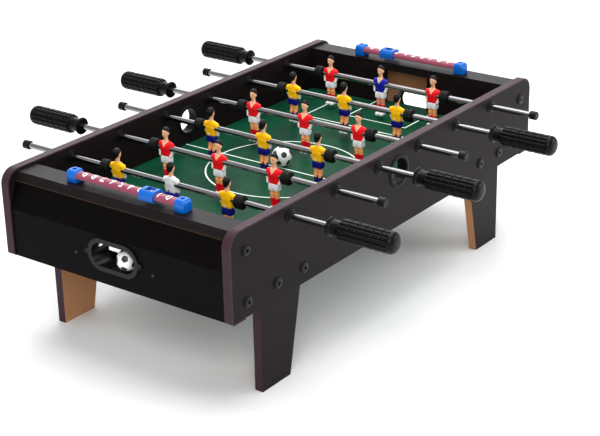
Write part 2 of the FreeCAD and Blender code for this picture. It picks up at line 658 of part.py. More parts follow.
def wall_mouldings():
    """Rod bushings and serving hole rings in both side walls."""
    bushing = flanged_sleeve("bushing", PIN_HOLE, "bushing_radius", "bushing_flange_radius",
                             "bushing_flange")
    ring = flanged_sleeve("serve_ring", "serve_bore", "serve_sleeve", "serve_flange_radius",
                          "serve_flange")
    bushings, rings = [], []
    for side, sign, angle in (("near", "-", 90), ("far", "", -90)):
        along = f"{sign}{WALL_INNER}"
        rings.append(copy_of(ring, f"ring_{side}", "0", along, "serve_height", X_AXIS, angle))
        for index in range(rod_count):
            across = f"{FIRST_ROD_X} + {index} * rod_pitch"
            bushings.append(copy_of(bushing, f"bushing_{side}_{index + 1}", across, along,
                                    "rod_height", X_AXIS, angle))
    return group("rod_bushings", bushings), group("serve_hole_rings", rings)


def ball_tray(label, turned):
    """Oval flange, sleeve through the end panel and the trough behind it, in one moulding."""
    body = new_body(label, turned)
    sleeve = oval(body, "YZ_Plane", f"-{PANEL_OUTER}", "oval_height", "tray_length + 2 * tray_wall",
                  "tray_rise + 2 * tray_wall", f"{label}_sleeve")
    pad(body, sleeve, f"{PANEL_OUTER} - {TRAY_BACK}")
    flange = oval(body, "YZ_Plane", f"-{PANEL_OUTER}", "oval_height", "tray_flange_length",
                  "tray_flange_rise", f"{label}_flange")
    pad(body, flange, "tray_flange", back=True)
    lugs = circles(body, "YZ_Plane", f"-{PANEL_OUTER}",
                   [(f"{side}lug_reach", "oval_height", "lug_radius") for side in ("-", "")],
                   f"{label}_lugs")
    pad(body, lugs, "tray_flange", back=True)
    opening = oval(body, "YZ_Plane", f"-{WALL_END}", "oval_height", "oval_length", "oval_rise",
                   f"{label}_mouth")
    cut(body, opening, "tray_flange", along=True)
    hollow = oval(body, "YZ_Plane", f"-{PANEL_OUTER}", "oval_height", "tray_length", "tray_rise",
                  f"{label}_hollow")
    cut(body, hollow, f"{PANEL_OUTER} - {TRAY_BACK} - tray_wall", along=True)
    outer_half = "(tray_length / 2 + 2 * tray_wall)"
    behind = f"-({PANEL_INNER} - fit_gap)"
    roof = polygon(body, "YZ_Plane", behind, [
        (f"-{outer_half}", "oval_height"), (outer_half, "oval_height"),
        (outer_half, "oval_height + tray_rise"), (f"-{outer_half}", "oval_height + tray_rise")],
        f"{label}_roof")
    cut(body, roof, "tray_reach + tray_wall", along=True)
    inner_half = "(tray_length / 2 - tray_wall)"
    notch = polygon(body, "YZ_Plane", behind, [
        (f"-{inner_half}", "tray_back_top"), (inner_half, "tray_back_top"),
        (inner_half, "oval_height + tray_wall"), (f"-{inner_half}", "oval_height + tray_wall")],
        f"{label}_notch")
    cut(body, notch, "tray_reach + tray_wall", along=True)
    for name, radius, depth in (("bores", SCREW_HOLE, "tray_flange"),
                                ("seats", "screw_head_radius + 2 * fit_gap", "screw_head")):
        holes = [(f"{side}lug_reach", "oval_height", radius) for side in ("-", "")]
        drilled = circles(body, "YZ_Plane", f"-{WALL_END}", holes, f"{label}_{name}")
        cut(body, drilled, depth, along=True)
    return body


# --- score counters -------------------------------------------------------------------------------

def bar_outline(body, offset, gap, name):
    """Section of the score bar, grown by a gap."""
    half = f"(bar_width / 2 + {gap})"
    return rounded(body, "XZ_Plane", offset, f"-counter_x - {half}", f"{BAR_BOTTOM} - {gap}",
                   f"-counter_x + {half}", f"{BAR_TOP} + {gap}", "bar_foot_round", "bar_round", name)


def score_brackets():
    """Blocks that hold the ends of both score bars, each with one screw down into the ledge."""
    template = new_body("score_bracket")
    outline = rounded(template, "XZ_Plane", "bracket_inner + bracket_length",
                      "-counter_x - bracket_width / 2", "ledge_top", "-counter_x + bracket_width / 2",
                      "ledge_top + bracket_height", "bracket_foot_round", "bracket_round",
                      "score_bracket_outline")
    pad(template, outline, "bracket_length", back=True)
    socket = bar_outline(template, "bracket_inner", "fit_gap", "score_bracket_socket")
    cut(template, socket, "bracket_socket", along=True)
    spot = ("-counter_x", "-bracket_middle")
    well = circles(template, "XY_Plane", "ledge_top + bracket_height",
                   [(*spot, "screw_head_radius + 3 * fit_gap")], "score_bracket_well")
    cut(template, well, "bracket_height - bracket_screw_seat")
    bore = circles(template, "XY_Plane", "ledge_top + bracket_height", [(*spot, SCREW_HOLE)],
                   "score_bracket_bore")
    cut(template, bore, "bracket_height")
    return group("score_brackets", [
        copy_of(template, "bracket_yellow_near"),
        copy_of(template, "bracket_yellow_far", across="-2 * counter_x", angle=180),
        copy_of(template, "bracket_red_far", angle=180),
        copy_of(template, "bracket_red_near", across="2 * counter_x")])


def score_bar(label, turned):
    body = new_body(label, turned)
    half = "(bracket_inner + bracket_socket - 2 * fit_gap)"
    pad(body, bar_outline(body, half, "0 * fit_gap", f"{label}_outline"), f"2 * {half}", back=True)
    return body


def score_slider(label, turned):
    """Frame that slides along a score bar and shows one numeral through its window."""
    body = new_body(label, turned)
    rest = "(numeral_last / 2 - numeral_shown) * numeral_pitch"
    front = f"{rest} + slider_length / 2"
    wall = "(slider_gap + slider_wall)"
    half = f"(bar_width / 2 + {wall})"
    outline = rounded(body, "XZ_Plane", front, f"-counter_x - {half}", f"{BAR_BOTTOM} - {wall}",
                      f"-counter_x + {half}", f"{BAR_TOP} + {wall}", "slider_foot_round",
                      "bracket_round", f"{label}_outline")
    pad(body, outline, "slider_length", back=True)
    cut(body, bar_outline(body, front, "slider_gap", f"{label}_channel"), "slider_length")
    inner, outer = "-counter_x + slider_window_width / 2", "-counter_x - slider_window_width / 2"
    low, high = f"-{rest} - slider_window_length / 2", f"-{rest} + slider_window_length / 2"
    window = polygon(body, "XY_Plane", f"{BAR_TOP} + {wall}",
                     [(outer, low), (inner, low), (inner, high), (outer, high)], f"{label}_window")
    cut(body, window, f"{wall} + slider_gap")
    return body


# --- rods and what is on them ---------------------------------------------------------------------

def rod_tube():
    """Chrome tube; its Z runs from the table's middle towards the handle."""
    plain_end = "-(rod_plain_end - cap_wall)"
    handle_end = "(handle_start + handle_bore_depth)"
    return turned_body("rod_tube", [
        ("rod_bore", plain_end), ("rod_radius", plain_end), ("rod_radius", handle_end),
        ("rod_bore", handle_end)])


def end_cap():
    inner = "-(rod_plain_end - cap_length)"
    return turned_body("rod_end_cap", [
        (PIN_HOLE, inner), ("cap_radius", inner), ("cap_radius", "-rod_plain_end + cap_wall / 2"),
        ("cap_radius - cap_wall / 2", "-rod_plain_end"), ("0", "-rod_plain_end"),
        ("0", "-rod_plain_end + cap_wall"), (PIN_HOLE, "-rod_plain_end + cap_wall")])


def bumper():
    outer = "(bumper_inner + bumper_length)"
    return turned_body("bumper_ring", [
        (PIN_HOLE, "bumper_inner"), ("bumper_radius - bumper_chamfer", "bumper_inner"),
        ("bumper_radius", "bumper_inner + bumper_chamfer"), ("bumper_radius", f"{outer} - bumper_chamfer"),
        ("bumper_radius - bumper_chamfer", outer), (PIN_HOLE, outer)])


def handle():
    """Grip with a collar, a neck, flutes along it and ring grooves across it."""
    collar = "(handle_start + handle_collar_length)"
    grip = "(handle_start + handle_collar_length + handle_neck_length)"
    end = "(handle_start + handle_length)"
    bore_end = "(handle_start + handle_bore_depth)"
    body = turned_body("rod_handle", [
        (PIN_HOLE, "handle_start"), ("handle_collar_radius", "handle_start"),
        ("handle_collar_radius", collar), ("handle_neck_radius", f"{collar} + handle_shoulder"),
        ("handle_neck_radius", grip), ("handle_grip_radius", f"{grip} + handle_shoulder"),
        ("handle_grip_radius", f"{end} - handle_dome"),
        ("handle_grip_radius - handle_dome_edge", f"{end} - handle_dome_edge"),
        ("handle_grip_radius - handle_dome", end), ("0", end), ("0", bore_end), (PIN_HOLE, bore_end)])
    flute = circles(body, "XY_Plane", f"{end} - flute_run_out",
                    [("handle_grip_radius + flute_lift", "0", "flute_radius")], "handle_flute")
    flute_cut = cut(body, flute, f"{end} - {grip} - flute_run_out - handle_shoulder")
    flutes = body.newObject("PartDesign::PolarPattern", "handle_flutes")
    flutes.Originals = [flute_cut]
    flutes.Axis = (flute, ["N_Axis"])
    flutes.Angle = 360
    flutes.setExpression("Occurrences", linked("flute_count"))
    body.Tip = flutes
    document.recompute()
    first = f"{end} - handle_dome - ring_groove_pitch * ring_groove_count"
    groove = polygon(body, "XZ_Plane", "0", [
        ("handle_grip_radius - ring_groove_depth", first), ("handle_grip_radius + flute_radius", first),
        ("handle_grip_radius + flute_radius", f"{first} + ring_groove_width"),
        ("handle_grip_radius - ring_groove_depth", f"{first} + ring_groove_width")], "handle_groove")
    groove_cut = body.newObject("PartDesign::Groove", "handle_groove_cut")
    groove_cut.Profile = groove
    groove_cut.ReferenceAxis = (groove, ["V_Axis"])
    groove_cut.Angle = 360
    document.recompute()
    grooves = body.newObject("PartDesign::LinearPattern", "handle_grooves")
    grooves.Originals = [groove_cut]
    grooves.Direction = (groove, ["V_Axis"])
    grooves.setExpression("Length", linked("ring_groove_pitch * (ring_groove_count - 1)"))
    grooves.setExpression("Occurrences", linked("ring_groove_count"))
    body.Tip = grooves
    return body


def player():
    """Figure on the rod axis, facing +X, with a hole for the rod through its chest."""
    half_depth = "player_depth / 2"
    torso_half = "(player_width / 2 - player_arm_radius)"
    torso = box("player_torso", (f"-{half_depth}", f"-{torso_half}", "-player_waist_drop"),
                (half_depth, torso_half, "player_shoulder_rise - player_arm_radius"))
    shoulders = primitive("Part::Cylinder", "player_shoulders", Radius="player_shoulder_radius",
                          Height="player_width - 2 * player_shoulder_inset")
    place(shoulders, "0", "-(player_width / 2 - player_shoulder_inset)",
          "player_shoulder_rise - player_shoulder_radius", X_AXIS, -90)
    shorts = box("player_shorts",
                 ("-player_shorts_depth / 2", "-player_shorts_width / 2", "-player_shorts_drop"),
                 ("player_shorts_depth / 2", "player_shorts_width / 2", "-player_waist_drop"))
    pieces = [torso, shoulders, shorts]
    for side, sign in (("right", "-"), ("left", "")):
        shin = primitive("Part::Cone", f"player_{side}_leg", Radius1="player_ankle_radius",
                         Radius2="player_leg_radius",
                         Height="player_foot_drop - player_shorts_drop - player_foot_height / 2")
        place(shin, "0", f"{sign}player_leg_radius", "-player_foot_drop + player_foot_height / 2")
        shoe = box(f"player_{side}_shoe",
                   ("-player_heel", f"{sign}player_leg_radius - player_foot_width / 2",
                    "-player_foot_drop"),
                   ("player_foot_length - player_heel",
                    f"{sign}player_leg_radius + player_foot_width / 2",
                    "-player_foot_drop + player_foot_height"))
        arm_y = f"{sign}(player_width / 2 - player_arm_radius)"
        arm = primitive("Part::Cylinder", f"player_{side}_arm", Radius="player_arm_radius",
                        Height="player_shoulder_rise - player_arm_radius + player_waist_drop")
        place(arm, "0", arm_y, "-player_waist_drop")
        shoulder = primitive("Part::Sphere", f"player_{side}_shoulder", Radius="player_arm_radius")
        place(shoulder, "0", arm_y, "player_shoulder_rise - player_arm_radius")
        pieces += [shin, shoe, arm, shoulder]
    neck = primitive("Part::Cylinder", "player_neck", Radius="player_neck_radius",
                     Height="player_head_rise - player_head_height / 2")
    place(neck, "0", "0", "0")
    head = primitive("Part::Ellipsoid", "player_head", Radius1="player_head_height / 2",
                     Radius2="player_head_depth / 2", Radius3="player_head_width / 2")
    place(head, "0", "0", "player_head_rise - player_head_height / 2")
    pieces += [neck, head]
    solid = document.addObject("Part::MultiFuse", "player_solid")
    solid.Shapes = pieces
    bore = primitive("Part::Cylinder", "player_bore", Radius=PIN_HOLE, Height="2 * player_width")
    place(bore, "0", "-player_width", "0", X_AXIS, -90)
    figure = document.addObject("Part::Cut", "player")
    figure.Base = solid
    figure.Tool = bore
    document.recompute()
    if figure.Shape.Volume >= solid.Shape.Volume - 1:
        raise RuntimeError("the rod's hole cuts nothing from the player")
    return figure


def rods():
    """Every rod with its handle, end cap, bumpers and players; handles alternate between sides."""
    tube, cap, ring, grip, figure = rod_tube(), end_cap(), bumper(), handle(), player()
    ring_pitch = "(2 * bumper_inner + bumper_length)"
    nodes = []
    for index in range(rod_count):
        name = f"rod{index + 1}"
        across = f"{FIRST_ROD_X} + {index} * rod_pitch"
        near = index % 2 == 0
        tilt = 90 if near else -90
        axis_place = (across, "0", "rod_height", X_AXIS, tilt)
        nodes.append(group(f"{name}_tube", [copy_of(tube, f"{name}_tube_link", *axis_place)]))
        nodes.append(group(f"{name}_handle", [copy_of(grip, f"{name}_handle_link", *axis_place)]))
        nodes.append(group(f"{name}_end_cap", [copy_of(cap, f"{name}_cap_link", *axis_place)]))
        shifted = (across, f"{'' if near else '-'}{ring_pitch}", "rod_height", X_AXIS, tilt)
        nodes.append(group(f"{name}_bumpers", [copy_of(ring, f"{name}_bumper_a", *axis_place),
                                               copy_of(ring, f"{name}_bumper_b", *shifted)]))
        figures = [copy_of(figure, f"{name}_player_{spot + 1}", across, f"{spot - 1} * player_pitch",
                           "rod_height", Z_AXIS, 0 if near else 180) for spot in range(3)]
        nodes.append(group(f"{name}_players", figures))
    return nodes


# --- balls ----------------------------------------------------------------------------------------

def balls():
    field_ball = primitive("Part::Sphere", "field_ball", Radius="ball_radius")
    place(field_ball, "field_ball_x", "field_ball_y", "field_top + ball_radius")
    tray_ball = primitive("Part::Sphere", "tray_ball", Radius="ball_radius")
    place(tray_ball, f"-({TRAY_BACK} + tray_wall + tray_ball_gap + ball_radius)", "tray_ball_y",
          "oval_height - tray_rise / 2 + ball_radius")
    return [field_ball, tray_ball]


# --- the whole table ------------------------------------------------------------------------------

sheet = make_sheet()
rod_count = int(number("rod_count"))


def build():
    nodes = []
    for side, turned in (("near", False), ("far", True)):
        nodes.append(side_wall(f"{side}_side_wall", turned))
        nodes.append(edge_band(f"{side}_edge_band", turned))
    for end, turned in (("yellow", False), ("red", True)):
        nodes.append(end_panel(f"{end}_end_panel", turned))
        nodes.append(ledge(f"{end}_ledge", turned))
        nodes.append(goal_boards(f"{end}_goal_boards", turned))
        nodes.append(ball_tray(f"{end}_ball_tray", turned))
        nodes.append(score_bar(f"{end}_score_bar", turned))
        nodes.append(score_slider(f"{end}_score_slider", turned))
    for label, mirrored, turned in (("leg_yellow_near", False, False), ("leg_red_near", True, False),
                                    ("leg_red_far", False, True), ("leg_yellow_far", True, True)):
        nodes.append(leg(label, mirrored, turned))
    nodes.append(playing_field())
    nodes.append(corner_blocks())
    nodes += wall_fasteners()
    nodes.append(small_screws())
    nodes += wall_mouldings()
    nodes.append(score_brackets())
    nodes += rods()
    nodes += balls()
    return nodes


def export(nodes):
    document.recompute()
    failed = [feature.Label for feature in document.Objects
              if "Invalid" in feature.State or "Error" in feature.State]
    if failed:
        raise RuntimeError(f"these features failed: {failed}")
    for node in nodes:
        if node.Shape.isNull() or not node.Shape.isValid() or not node.Shape.Solids:
            raise RuntimeError(f"{node.Label} has no valid solid")
    os.makedirs("parts", exist_ok=True)
    for node in nodes:
        node.Shape.exportStep(f"parts/{node.Label}.step")
    print(len(nodes), "nodes written")


export(build())
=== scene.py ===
"""Tabletop foosball table: detailed pieces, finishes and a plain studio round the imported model.

Laid out as an add-on: a property group for each kind of size, an operator for each piece or group
of like pieces, and a panel that lists them. Metres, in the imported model's own frame.
"""
import math

import bmesh
import bpy
import numpy as np
from bpy.props import FloatProperty, FloatVectorProperty, IntProperty, PointerProperty
from mathutils import Euler, Matrix, Vector


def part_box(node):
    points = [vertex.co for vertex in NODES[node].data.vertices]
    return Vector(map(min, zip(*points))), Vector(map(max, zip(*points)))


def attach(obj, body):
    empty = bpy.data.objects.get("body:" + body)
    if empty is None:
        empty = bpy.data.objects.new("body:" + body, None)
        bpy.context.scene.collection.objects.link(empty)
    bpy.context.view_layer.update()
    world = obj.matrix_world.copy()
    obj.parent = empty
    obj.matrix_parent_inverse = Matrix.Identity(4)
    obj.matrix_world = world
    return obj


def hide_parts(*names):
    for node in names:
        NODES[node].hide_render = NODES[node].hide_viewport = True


bl_info = {
    "name": "Foosball table",
    "version": (1, 0, 0),
    "blender": (4, 5, 0),
    "location": "View3D > Sidebar > Foosball",
    "description": "Finishes and detailed pieces of a tabletop foosball table",
    "category": "Object",
}

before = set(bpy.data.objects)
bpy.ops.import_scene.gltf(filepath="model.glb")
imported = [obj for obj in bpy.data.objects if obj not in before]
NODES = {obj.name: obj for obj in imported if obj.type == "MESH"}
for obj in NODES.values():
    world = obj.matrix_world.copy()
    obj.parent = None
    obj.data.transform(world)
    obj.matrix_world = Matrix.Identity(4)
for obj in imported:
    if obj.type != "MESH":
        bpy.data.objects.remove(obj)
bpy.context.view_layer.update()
MM = 0.001


def low_corner(node):
    return np.array(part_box(node)[0])


def high_corner(node):
    return np.array(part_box(node)[1])


def middle(node):
    return (low_corner(node) + high_corner(node)) / 2


RODS = sorted(name[:-5] for name in NODES if name.startswith("rod") and name.endswith("_tube"))
ENDS = {"yellow": -1, "red": 1}
FIELD_TOP = high_corner("playing_field")[2]
GOAL_LINE = low_corner("red_goal_boards")[0]
WALL_OUTER = high_corner("far_side_wall")[1]
WALL_INNER = low_corner("far_side_wall")[1]
BAR_TOP = high_corner("yellow_score_bar")[2]
BAR_ROUNDING = 6 * MM
BAR_FLAT = 1.5 * MM
BOARD = WALL_OUTER - WALL_INNER
PANEL_FOLD = FIELD_TOP + 19 * MM
PANEL_LEAN = 16 / 46
ROD_BORE = 4.05


# --- properties -----------------------------------------------------------------------------------

def colour(name, description, default):
    return FloatVectorProperty(name=name, description=description, default=default, size=3,
                               min=0.0, max=1.0, subtype="COLOR")


def length(name, description, default):
    return FloatProperty(name=name, description=description, default=default, min=0.0,
                         unit="LENGTH", subtype="DISTANCE")


class FoosballColours(bpy.types.PropertyGroup):
    laminate: colour("Laminate", "Black board surface", (0.0078, 0.0052, 0.0056))
    band: colour("Edge band", "Purple-brown edge of the boards", (0.042, 0.021, 0.030))
    board: colour("Raw board", "Uncovered fibreboard", (0.43, 0.205, 0.095))
    grass: colour("Field", "Printed playing surface", (0.005, 0.068, 0.031))
    grass_dark: colour("Field, dark", "Darker patches of the playing surface", (0.003, 0.033, 0.017))
    line: colour("Field lines", "Printed lines", (0.78, 0.86, 0.80))
    plastic: colour("Black plastic", "Bushings, rings, trays and caps", (0.006, 0.0055, 0.006))
    grip: colour("Grip", "Handles", (0.0025, 0.0024, 0.0027))
    counter: colour("Counter blue", "Score sliders and brackets", (0.0, 0.115, 0.50))
    bar: colour("Score bar", "Bar under the numerals", (0.25, 0.05, 0.085))
    hair: colour("Hair", "Players' hair", (0.0035, 0.0035, 0.004))
    skin: colour("Skin", "Players' faces and necks", (0.95, 0.52, 0.30))
    leg_skin: colour("Legs", "Players' bare legs", (0.95, 0.42, 0.15))
    hands: colour("Hands", "Players' forearms and gloves", (0.86, 0.80, 0.76))


class FoosballSizes(bpy.types.PropertyGroup):
    figure_cell: length("Figure detail", "Size of the cells that the figures are meshed with", 0.5 * MM)
    line_width: length("Line width", "Printed lines on the field", 2.2 * MM)
    circle_radius: length("Centre circle", "Radius of the centre circle", 106 * MM)
    penalty_reach: length("Penalty area", "Depth of the penalty area from the goal line", 113 * MM)
    penalty_half: length("Penalty area half width", "From the table's middle line", 106 * MM)
    goal_reach: length("Goal area", "Depth of the goal area from the goal line", 78 * MM)
    goal_half: length("Goal area half width", "From the table's middle line", 51 * MM)
    print_offset: length("Print offset", "How far the print is off the field's middle", 6.5 * MM)
    arc_radius: length("Arc radius", "Radius of the arc at the penalty area", 44 * MM)
    arc_rise: length("Arc rise", "How far the arc stands out of the penalty area", 15 * MM)
    numeral_size: length("Numeral", "Height of the font's line on the score bar", 15.5 * MM)
    numeral_rise: length("Numeral rise", "How far the numerals stand out of the bar", 0.25 * MM)
    grip_ribs: IntProperty(name="Grip ribs", description="Ribs round a handle", default=14, min=3)
    grip_rings: IntProperty(name="Grip rings", description="Grooves across a handle", default=5, min=0)
    bushing_lobes: IntProperty(name="Bushing lobes", description="Lobes of a bushing's hub", default=8,
                               min=3)


# --- shader arithmetic ----------------------------------------------------------------------------

def plug(tree, value, slot):
    """Fills an input socket with a wire, a number or a colour."""
    if isinstance(value, Wire):
        tree.links.new(value.socket, slot)
    elif slot.type == "RGBA":
        slot.default_value = (*tuple(value)[:3], 1.0)
    else:
        slot.default_value = value


class Wire:
    """A shader socket that takes part in arithmetic."""

    def __init__(self, tree, socket):
        self.tree, self.socket = tree, socket

    def _math(self, operation, *values):
        node = self.tree.nodes.new("ShaderNodeMath")
        node.operation = operation
        for slot, value in zip(node.inputs, values):
            plug(self.tree, value, slot)
        return Wire(self.tree, node.outputs[0])

    def __add__(self, other):
        return self._math("ADD", self, other)

    def __radd__(self, other):
        return self._math("ADD", other, self)

    def __sub__(self, other):
        return self._math("SUBTRACT", self, other)

    def __rsub__(self, other):
        return self._math("SUBTRACT", other, self)

    def __mul__(self, other):
        return self._math("MULTIPLY", self, other)

    def __rmul__(self, other):
        return self._math("MULTIPLY", other, self)

    def __truediv__(self, other):
        return self._math("DIVIDE", self, other)

    def __abs__(self):
        return self._math("ABSOLUTE", self)

    def __pow__(self, other):
        return self._math("POWER", self, other)

    def above(self, limit, soft):
        """0 below the limit and 1 above it, with a soft edge that wide."""
        return ((self - limit) / soft + 0.5).clamped()

    def below(self, limit, soft):
        return 1 - self.above(limit, soft)

    def clamped(self):
        node = self.tree.nodes.new("ShaderNodeClamp")
        self.tree.links.new(self.socket, node.inputs[0])
        return Wire(self.tree, node.outputs[0])

    def least(self, other):
        return self._math("MINIMUM", self, other)

    def most(self, other):
        return self._math("MAXIMUM", self, other)


def root_of_squares(a, b):
    return (a * a + b * b) ** 0.5


class Finish:
    """A procedural material, built a node at a time."""

    def __init__(self, name, **constants):
        self.material = bpy.data.materials.new(name)
        self.material.use_nodes = True
        self.tree = self.material.node_tree
        self.shader = self.tree.nodes["Principled BSDF"]
        for socket, value in constants.items():
            self.put(socket.replace("_", " ").title().replace("Ior", "IOR"), value)

    def put(self, socket, value):
        """Sets one of the shader's own sockets to a value or a wire."""
        plug(self.tree, value, self.shader.inputs[socket])
        return self

    def node(self, kind, settings=None, output=0, **sockets):
        """Any node: its settings, then its sockets by name or as n and a number, and one output."""
        made = self.tree.nodes.new(kind)
        for name, value in (settings or {}).items():
            setattr(made, name, value)
        for name, value in sockets.items():
            numbered = name[0] == "n" and name[1:].isdigit()
            plug(self.tree, value, made.inputs[int(name[1:]) if numbered else name])
        return Wire(self.tree, made.outputs[output])

    def place(self):
        """The object coordinates as three wires, in metres."""
        return self.split(self.node("ShaderNodeTexCoord", output=3))

    def split(self, vector):
        made = self.tree.nodes.new("ShaderNodeSeparateXYZ")
        self.tree.links.new(vector.socket, made.inputs[0])
        return [Wire(self.tree, made.outputs[i]) for i in range(3)]

    def attribute(self, name):
        return self.node("ShaderNodeAttribute", {"attribute_name": name}, output=2)

    def vector_attribute(self, name):
        return self.split(self.node("ShaderNodeAttribute", {"attribute_name": name}, output=1))

    def noise(self, scale, detail=2.0, rough=0.5, stretch=(1, 1, 1), offset=(0, 0, 0)):
        """Noise of a size per metre, drawn out along an axis by a small stretch there."""
        where = self.node("ShaderNodeTexCoord", output=3)
        spread = self.node("ShaderNodeMapping", n0=where, n3=tuple(stretch), n1=tuple(offset))
        return self.node("ShaderNodeTexNoise", Vector=spread, Scale=scale, Detail=detail, Roughness=rough)

    def mix(self, first, second, factor):
        """A colour between two, given as colours or wires."""
        made = self.tree.nodes.new("ShaderNodeMix")
        made.data_type = "RGBA"
        for number, value in ((0, factor), (6, first), (7, second)):
            plug(self.tree, value, made.inputs[number])
        return Wire(self.tree, made.outputs[2])

    def bump(self, height, distance, strength=1.0):
        made = self.node("ShaderNodeBump", Height=height, Distance=distance, Strength=strength)
        return self.put("Normal", made)


def shade(colour_value, factor):
    return tuple(min(1.0, channel * factor) for channel in colour_value)


# --- finishes -------------------------------------------------------------------------------------

def laminate_grain(finish, base, stretch):
    """Black laminate: faint wood pores drawn out along one axis, and a satin surface."""
    pores = finish.noise(260.0, 6.0, 0.62, stretch)
    cloud = finish.noise(9.0, 2.0, 0.5, stretch, (3.1, 1.7, 0.4))
    tone = (pores.above(0.55, 0.30) * 0.55 + cloud * 0.5).clamped()
    dark, light = shade(base, 0.72), shade(base, 1.45)
    finish.put("Roughness", 0.36 + pores * 0.16)
    finish.bump(pores, 0.00006, 0.35)
    return finish.mix(dark, light, tone)


def board_core(finish, base):
    """Cut or uncovered fibreboard: fine fibres, flecks and slow changes of tone."""
    fibres = finish.noise(900.0, 4.0, 0.7)
    cloud = finish.noise(24.0, 3.0, 0.55, (1, 1, 1), (0.3, 0.9, 0.2))
    return finish.mix(shade(base, 0.70), shade(base, 1.22), (fibres * 0.6 + cloud * 0.6 - 0.1).clamped())


def wall_finish(colours, name, stretch):
    finish = Finish(name, specular_ior_level=0.07)
    finish.put("Base Color", laminate_grain(finish, shade(colours.laminate, 1.1), stretch))
    return finish.material


def band_finish(colours):
    finish = Finish("edge_band", specular_ior_level=0.10)
    grain = finish.noise(420.0, 5.0, 0.6, (0.06, 0.35, 0.25))
    slow = finish.noise(16.0, 2.0, 0.5, (0.3, 1.0, 1.0))
    finish.put("Base Color", finish.mix(shade(colours.band, 0.68), shade(colours.band, 1.35),
                                        (grain * 0.7 + slow * 0.4 - 0.05).clamped()))
    finish.put("Roughness", 0.34 + grain * 0.18)
    finish.bump(grain, 0.00005, 0.4)
    return finish.material


def panel_finish(colours):
    """End panels: black outside, darkened as painted shade to a quarter of the laminate, raw fibreboard
    inside, with the fold between them.
    """
    finish = Finish("end_panel_board", specular_ior_level=0.035)
    x, _, z = finish.place()
    upright = high_corner("red_end_panel")[0] - abs(x)
    leaning = (upright - (z - PANEL_FOLD) * PANEL_LEAN) / math.hypot(1, PANEL_LEAN)
    raw = upright.least(leaning).above(BOARD * 0.96, 0.0004)
    # painted shade: the outside is the walls' laminate at a quarter of its colour, as if this face were
    # turned from the light
    outside = laminate_grain(finish, shade(colours.laminate, 0.25), (1, 0.08, 1))
    finish.put("Base Color", finish.mix(outside, board_core(finish, colours.board), raw))
    return finish.material


def ledge_finish(colours):
    """Ledges: black laminate, with a dark line of bare board low along the outside."""
    finish = Finish("ledge_board", specular_ior_level=0.11)
    x, _, z = finish.place()
    lowest = (z - low_corner("red_ledge")[2]).below(0.9 * MM, 0.0004)
    seam = lowest * abs(x).above(GOAL_LINE + 4 * MM, 0.001)
    outside = laminate_grain(finish, colours.laminate, (1, 0.08, 1))
    finish.put("Base Color", finish.mix(outside, shade(colours.board, 0.10), seam))
    return finish.material


def leg_finish(colours):
    """Legs: black outside, banded on the upright edge, raw on the inner face and the sloping edge."""
    high = high_corner("leg_red_far")
    finish = Finish("leg_board", specular_ior_level=0.09)
    x, y, _ = finish.place()
    raw = abs(y).below(high[1] - 0.15 * MM, 0.0002)
    upright = abs(x).above(high[0] - 0.1 * MM, 0.0001)
    outside = laminate_grain(finish, colours.laminate, (1, 1, 0.08))
    banded = finish.mix(board_core(finish, colours.board), colours.band, upright)
    finish.put("Base Color", finish.mix(outside, banded, raw))
    return finish.material


def raw_finish(colours):
    finish = Finish("raw_fibreboard", roughness=0.85)
    finish.put("Base Color", board_core(finish, colours.board))
    finish.bump(finish.noise(1500.0, 3.0), 0.0001, 0.5)
    return finish.material


def field_finish(colours, sizes):
    """Printed field: mottled green under a clear coat, with its white lines."""
    finish = Finish("printed_field", specular_ior_level=0.05)
    x, y, z = finish.place()
    patches = finish.noise(13.0, 2.0, 0.4, (1, 1, 1), (0.37, 0.12, 0))
    streaks = finish.noise(60.0, 3.0, 0.6, (0.25, 1.0, 1.0))
    tone = (patches.above(0.56, 0.16) * 0.65 + streaks * 0.45).clamped()
    grass = finish.mix(colours.grass, colours.grass_dark, tone)
    half = sizes.line_width / 2
    edge = 0.25 * MM
    along, across = abs(x + sizes.print_offset), abs(y)
    box_base = GOAL_LINE + sizes.print_offset
    circle = abs(root_of_squares(along, y) - sizes.circle_radius).below(half, edge)
    halfway = along.below(half, edge)
    lines = circle.most(halfway)
    for reach, side in ((sizes.penalty_reach, sizes.penalty_half), (sizes.goal_reach, sizes.goal_half)):
        front = abs(along - (box_base - reach)).below(half, edge) * across.below(side + half, edge)
        flank = abs(across - side).below(half, edge) * along.above(box_base - reach, edge)
        lines = lines.most(front).most(flank)
    arc_middle = box_base - sizes.penalty_reach - sizes.arc_rise + sizes.arc_radius
    arc = abs(root_of_squares(along - arc_middle, y) - sizes.arc_radius).below(half, edge)
    lines = lines.most(arc * along.below(box_base - sizes.penalty_reach, edge))
    lines = lines * z.above(FIELD_TOP - 0.1 * MM, 0.0001)
    finish.put("Base Color", finish.mix(grass, colours.line, lines))
    finish.put("Roughness", 0.36 + streaks * 0.14)
    return finish.material


def plastic_finish(name, tint, rough, grain=0.0, **constants):
    """Moulded plastic: a touch of uneven gloss, and a fine texture where the mould has one."""
    finish = Finish(name, **constants)
    gloss = finish.noise(90.0, 3.0)
    finish.put("Base Color", finish.mix(shade(tint, 0.9), shade(tint, 1.12), gloss))
    finish.put("Roughness", rough + gloss * 0.10)
    if grain:
        finish.bump(finish.noise(2600.0, 2.0), grain, 0.5)
    return finish.material


def metal_finish(name, tint, rough, stretch=(1, 1, 1), metallic=1.0):
    finish = Finish(name, metallic=metallic)
    streaks = finish.noise(700.0, 3.0, 0.6, stretch)
    finish.put("Base Color", finish.mix(shade(tint, 0.88), tint, streaks))
    finish.put("Roughness", rough + streaks * 0.08)
    finish.bump(streaks, 0.00001, 0.3)
    return finish.material


def chrome_finish():
    """Chromed tube, with the faint marks that the bushings rub round it."""
    finish = Finish("chromed_tube", metallic=1.0)
    rubs = finish.noise(30.0, 2.0, 0.5, (0.2, 1.0, 0.2))
    finish.put("Base Color", finish.mix((0.27, 0.265, 0.27), (0.34, 0.335, 0.34), rubs))
    finish.put("Roughness", 0.10 + rubs * 0.06)
    return finish.material


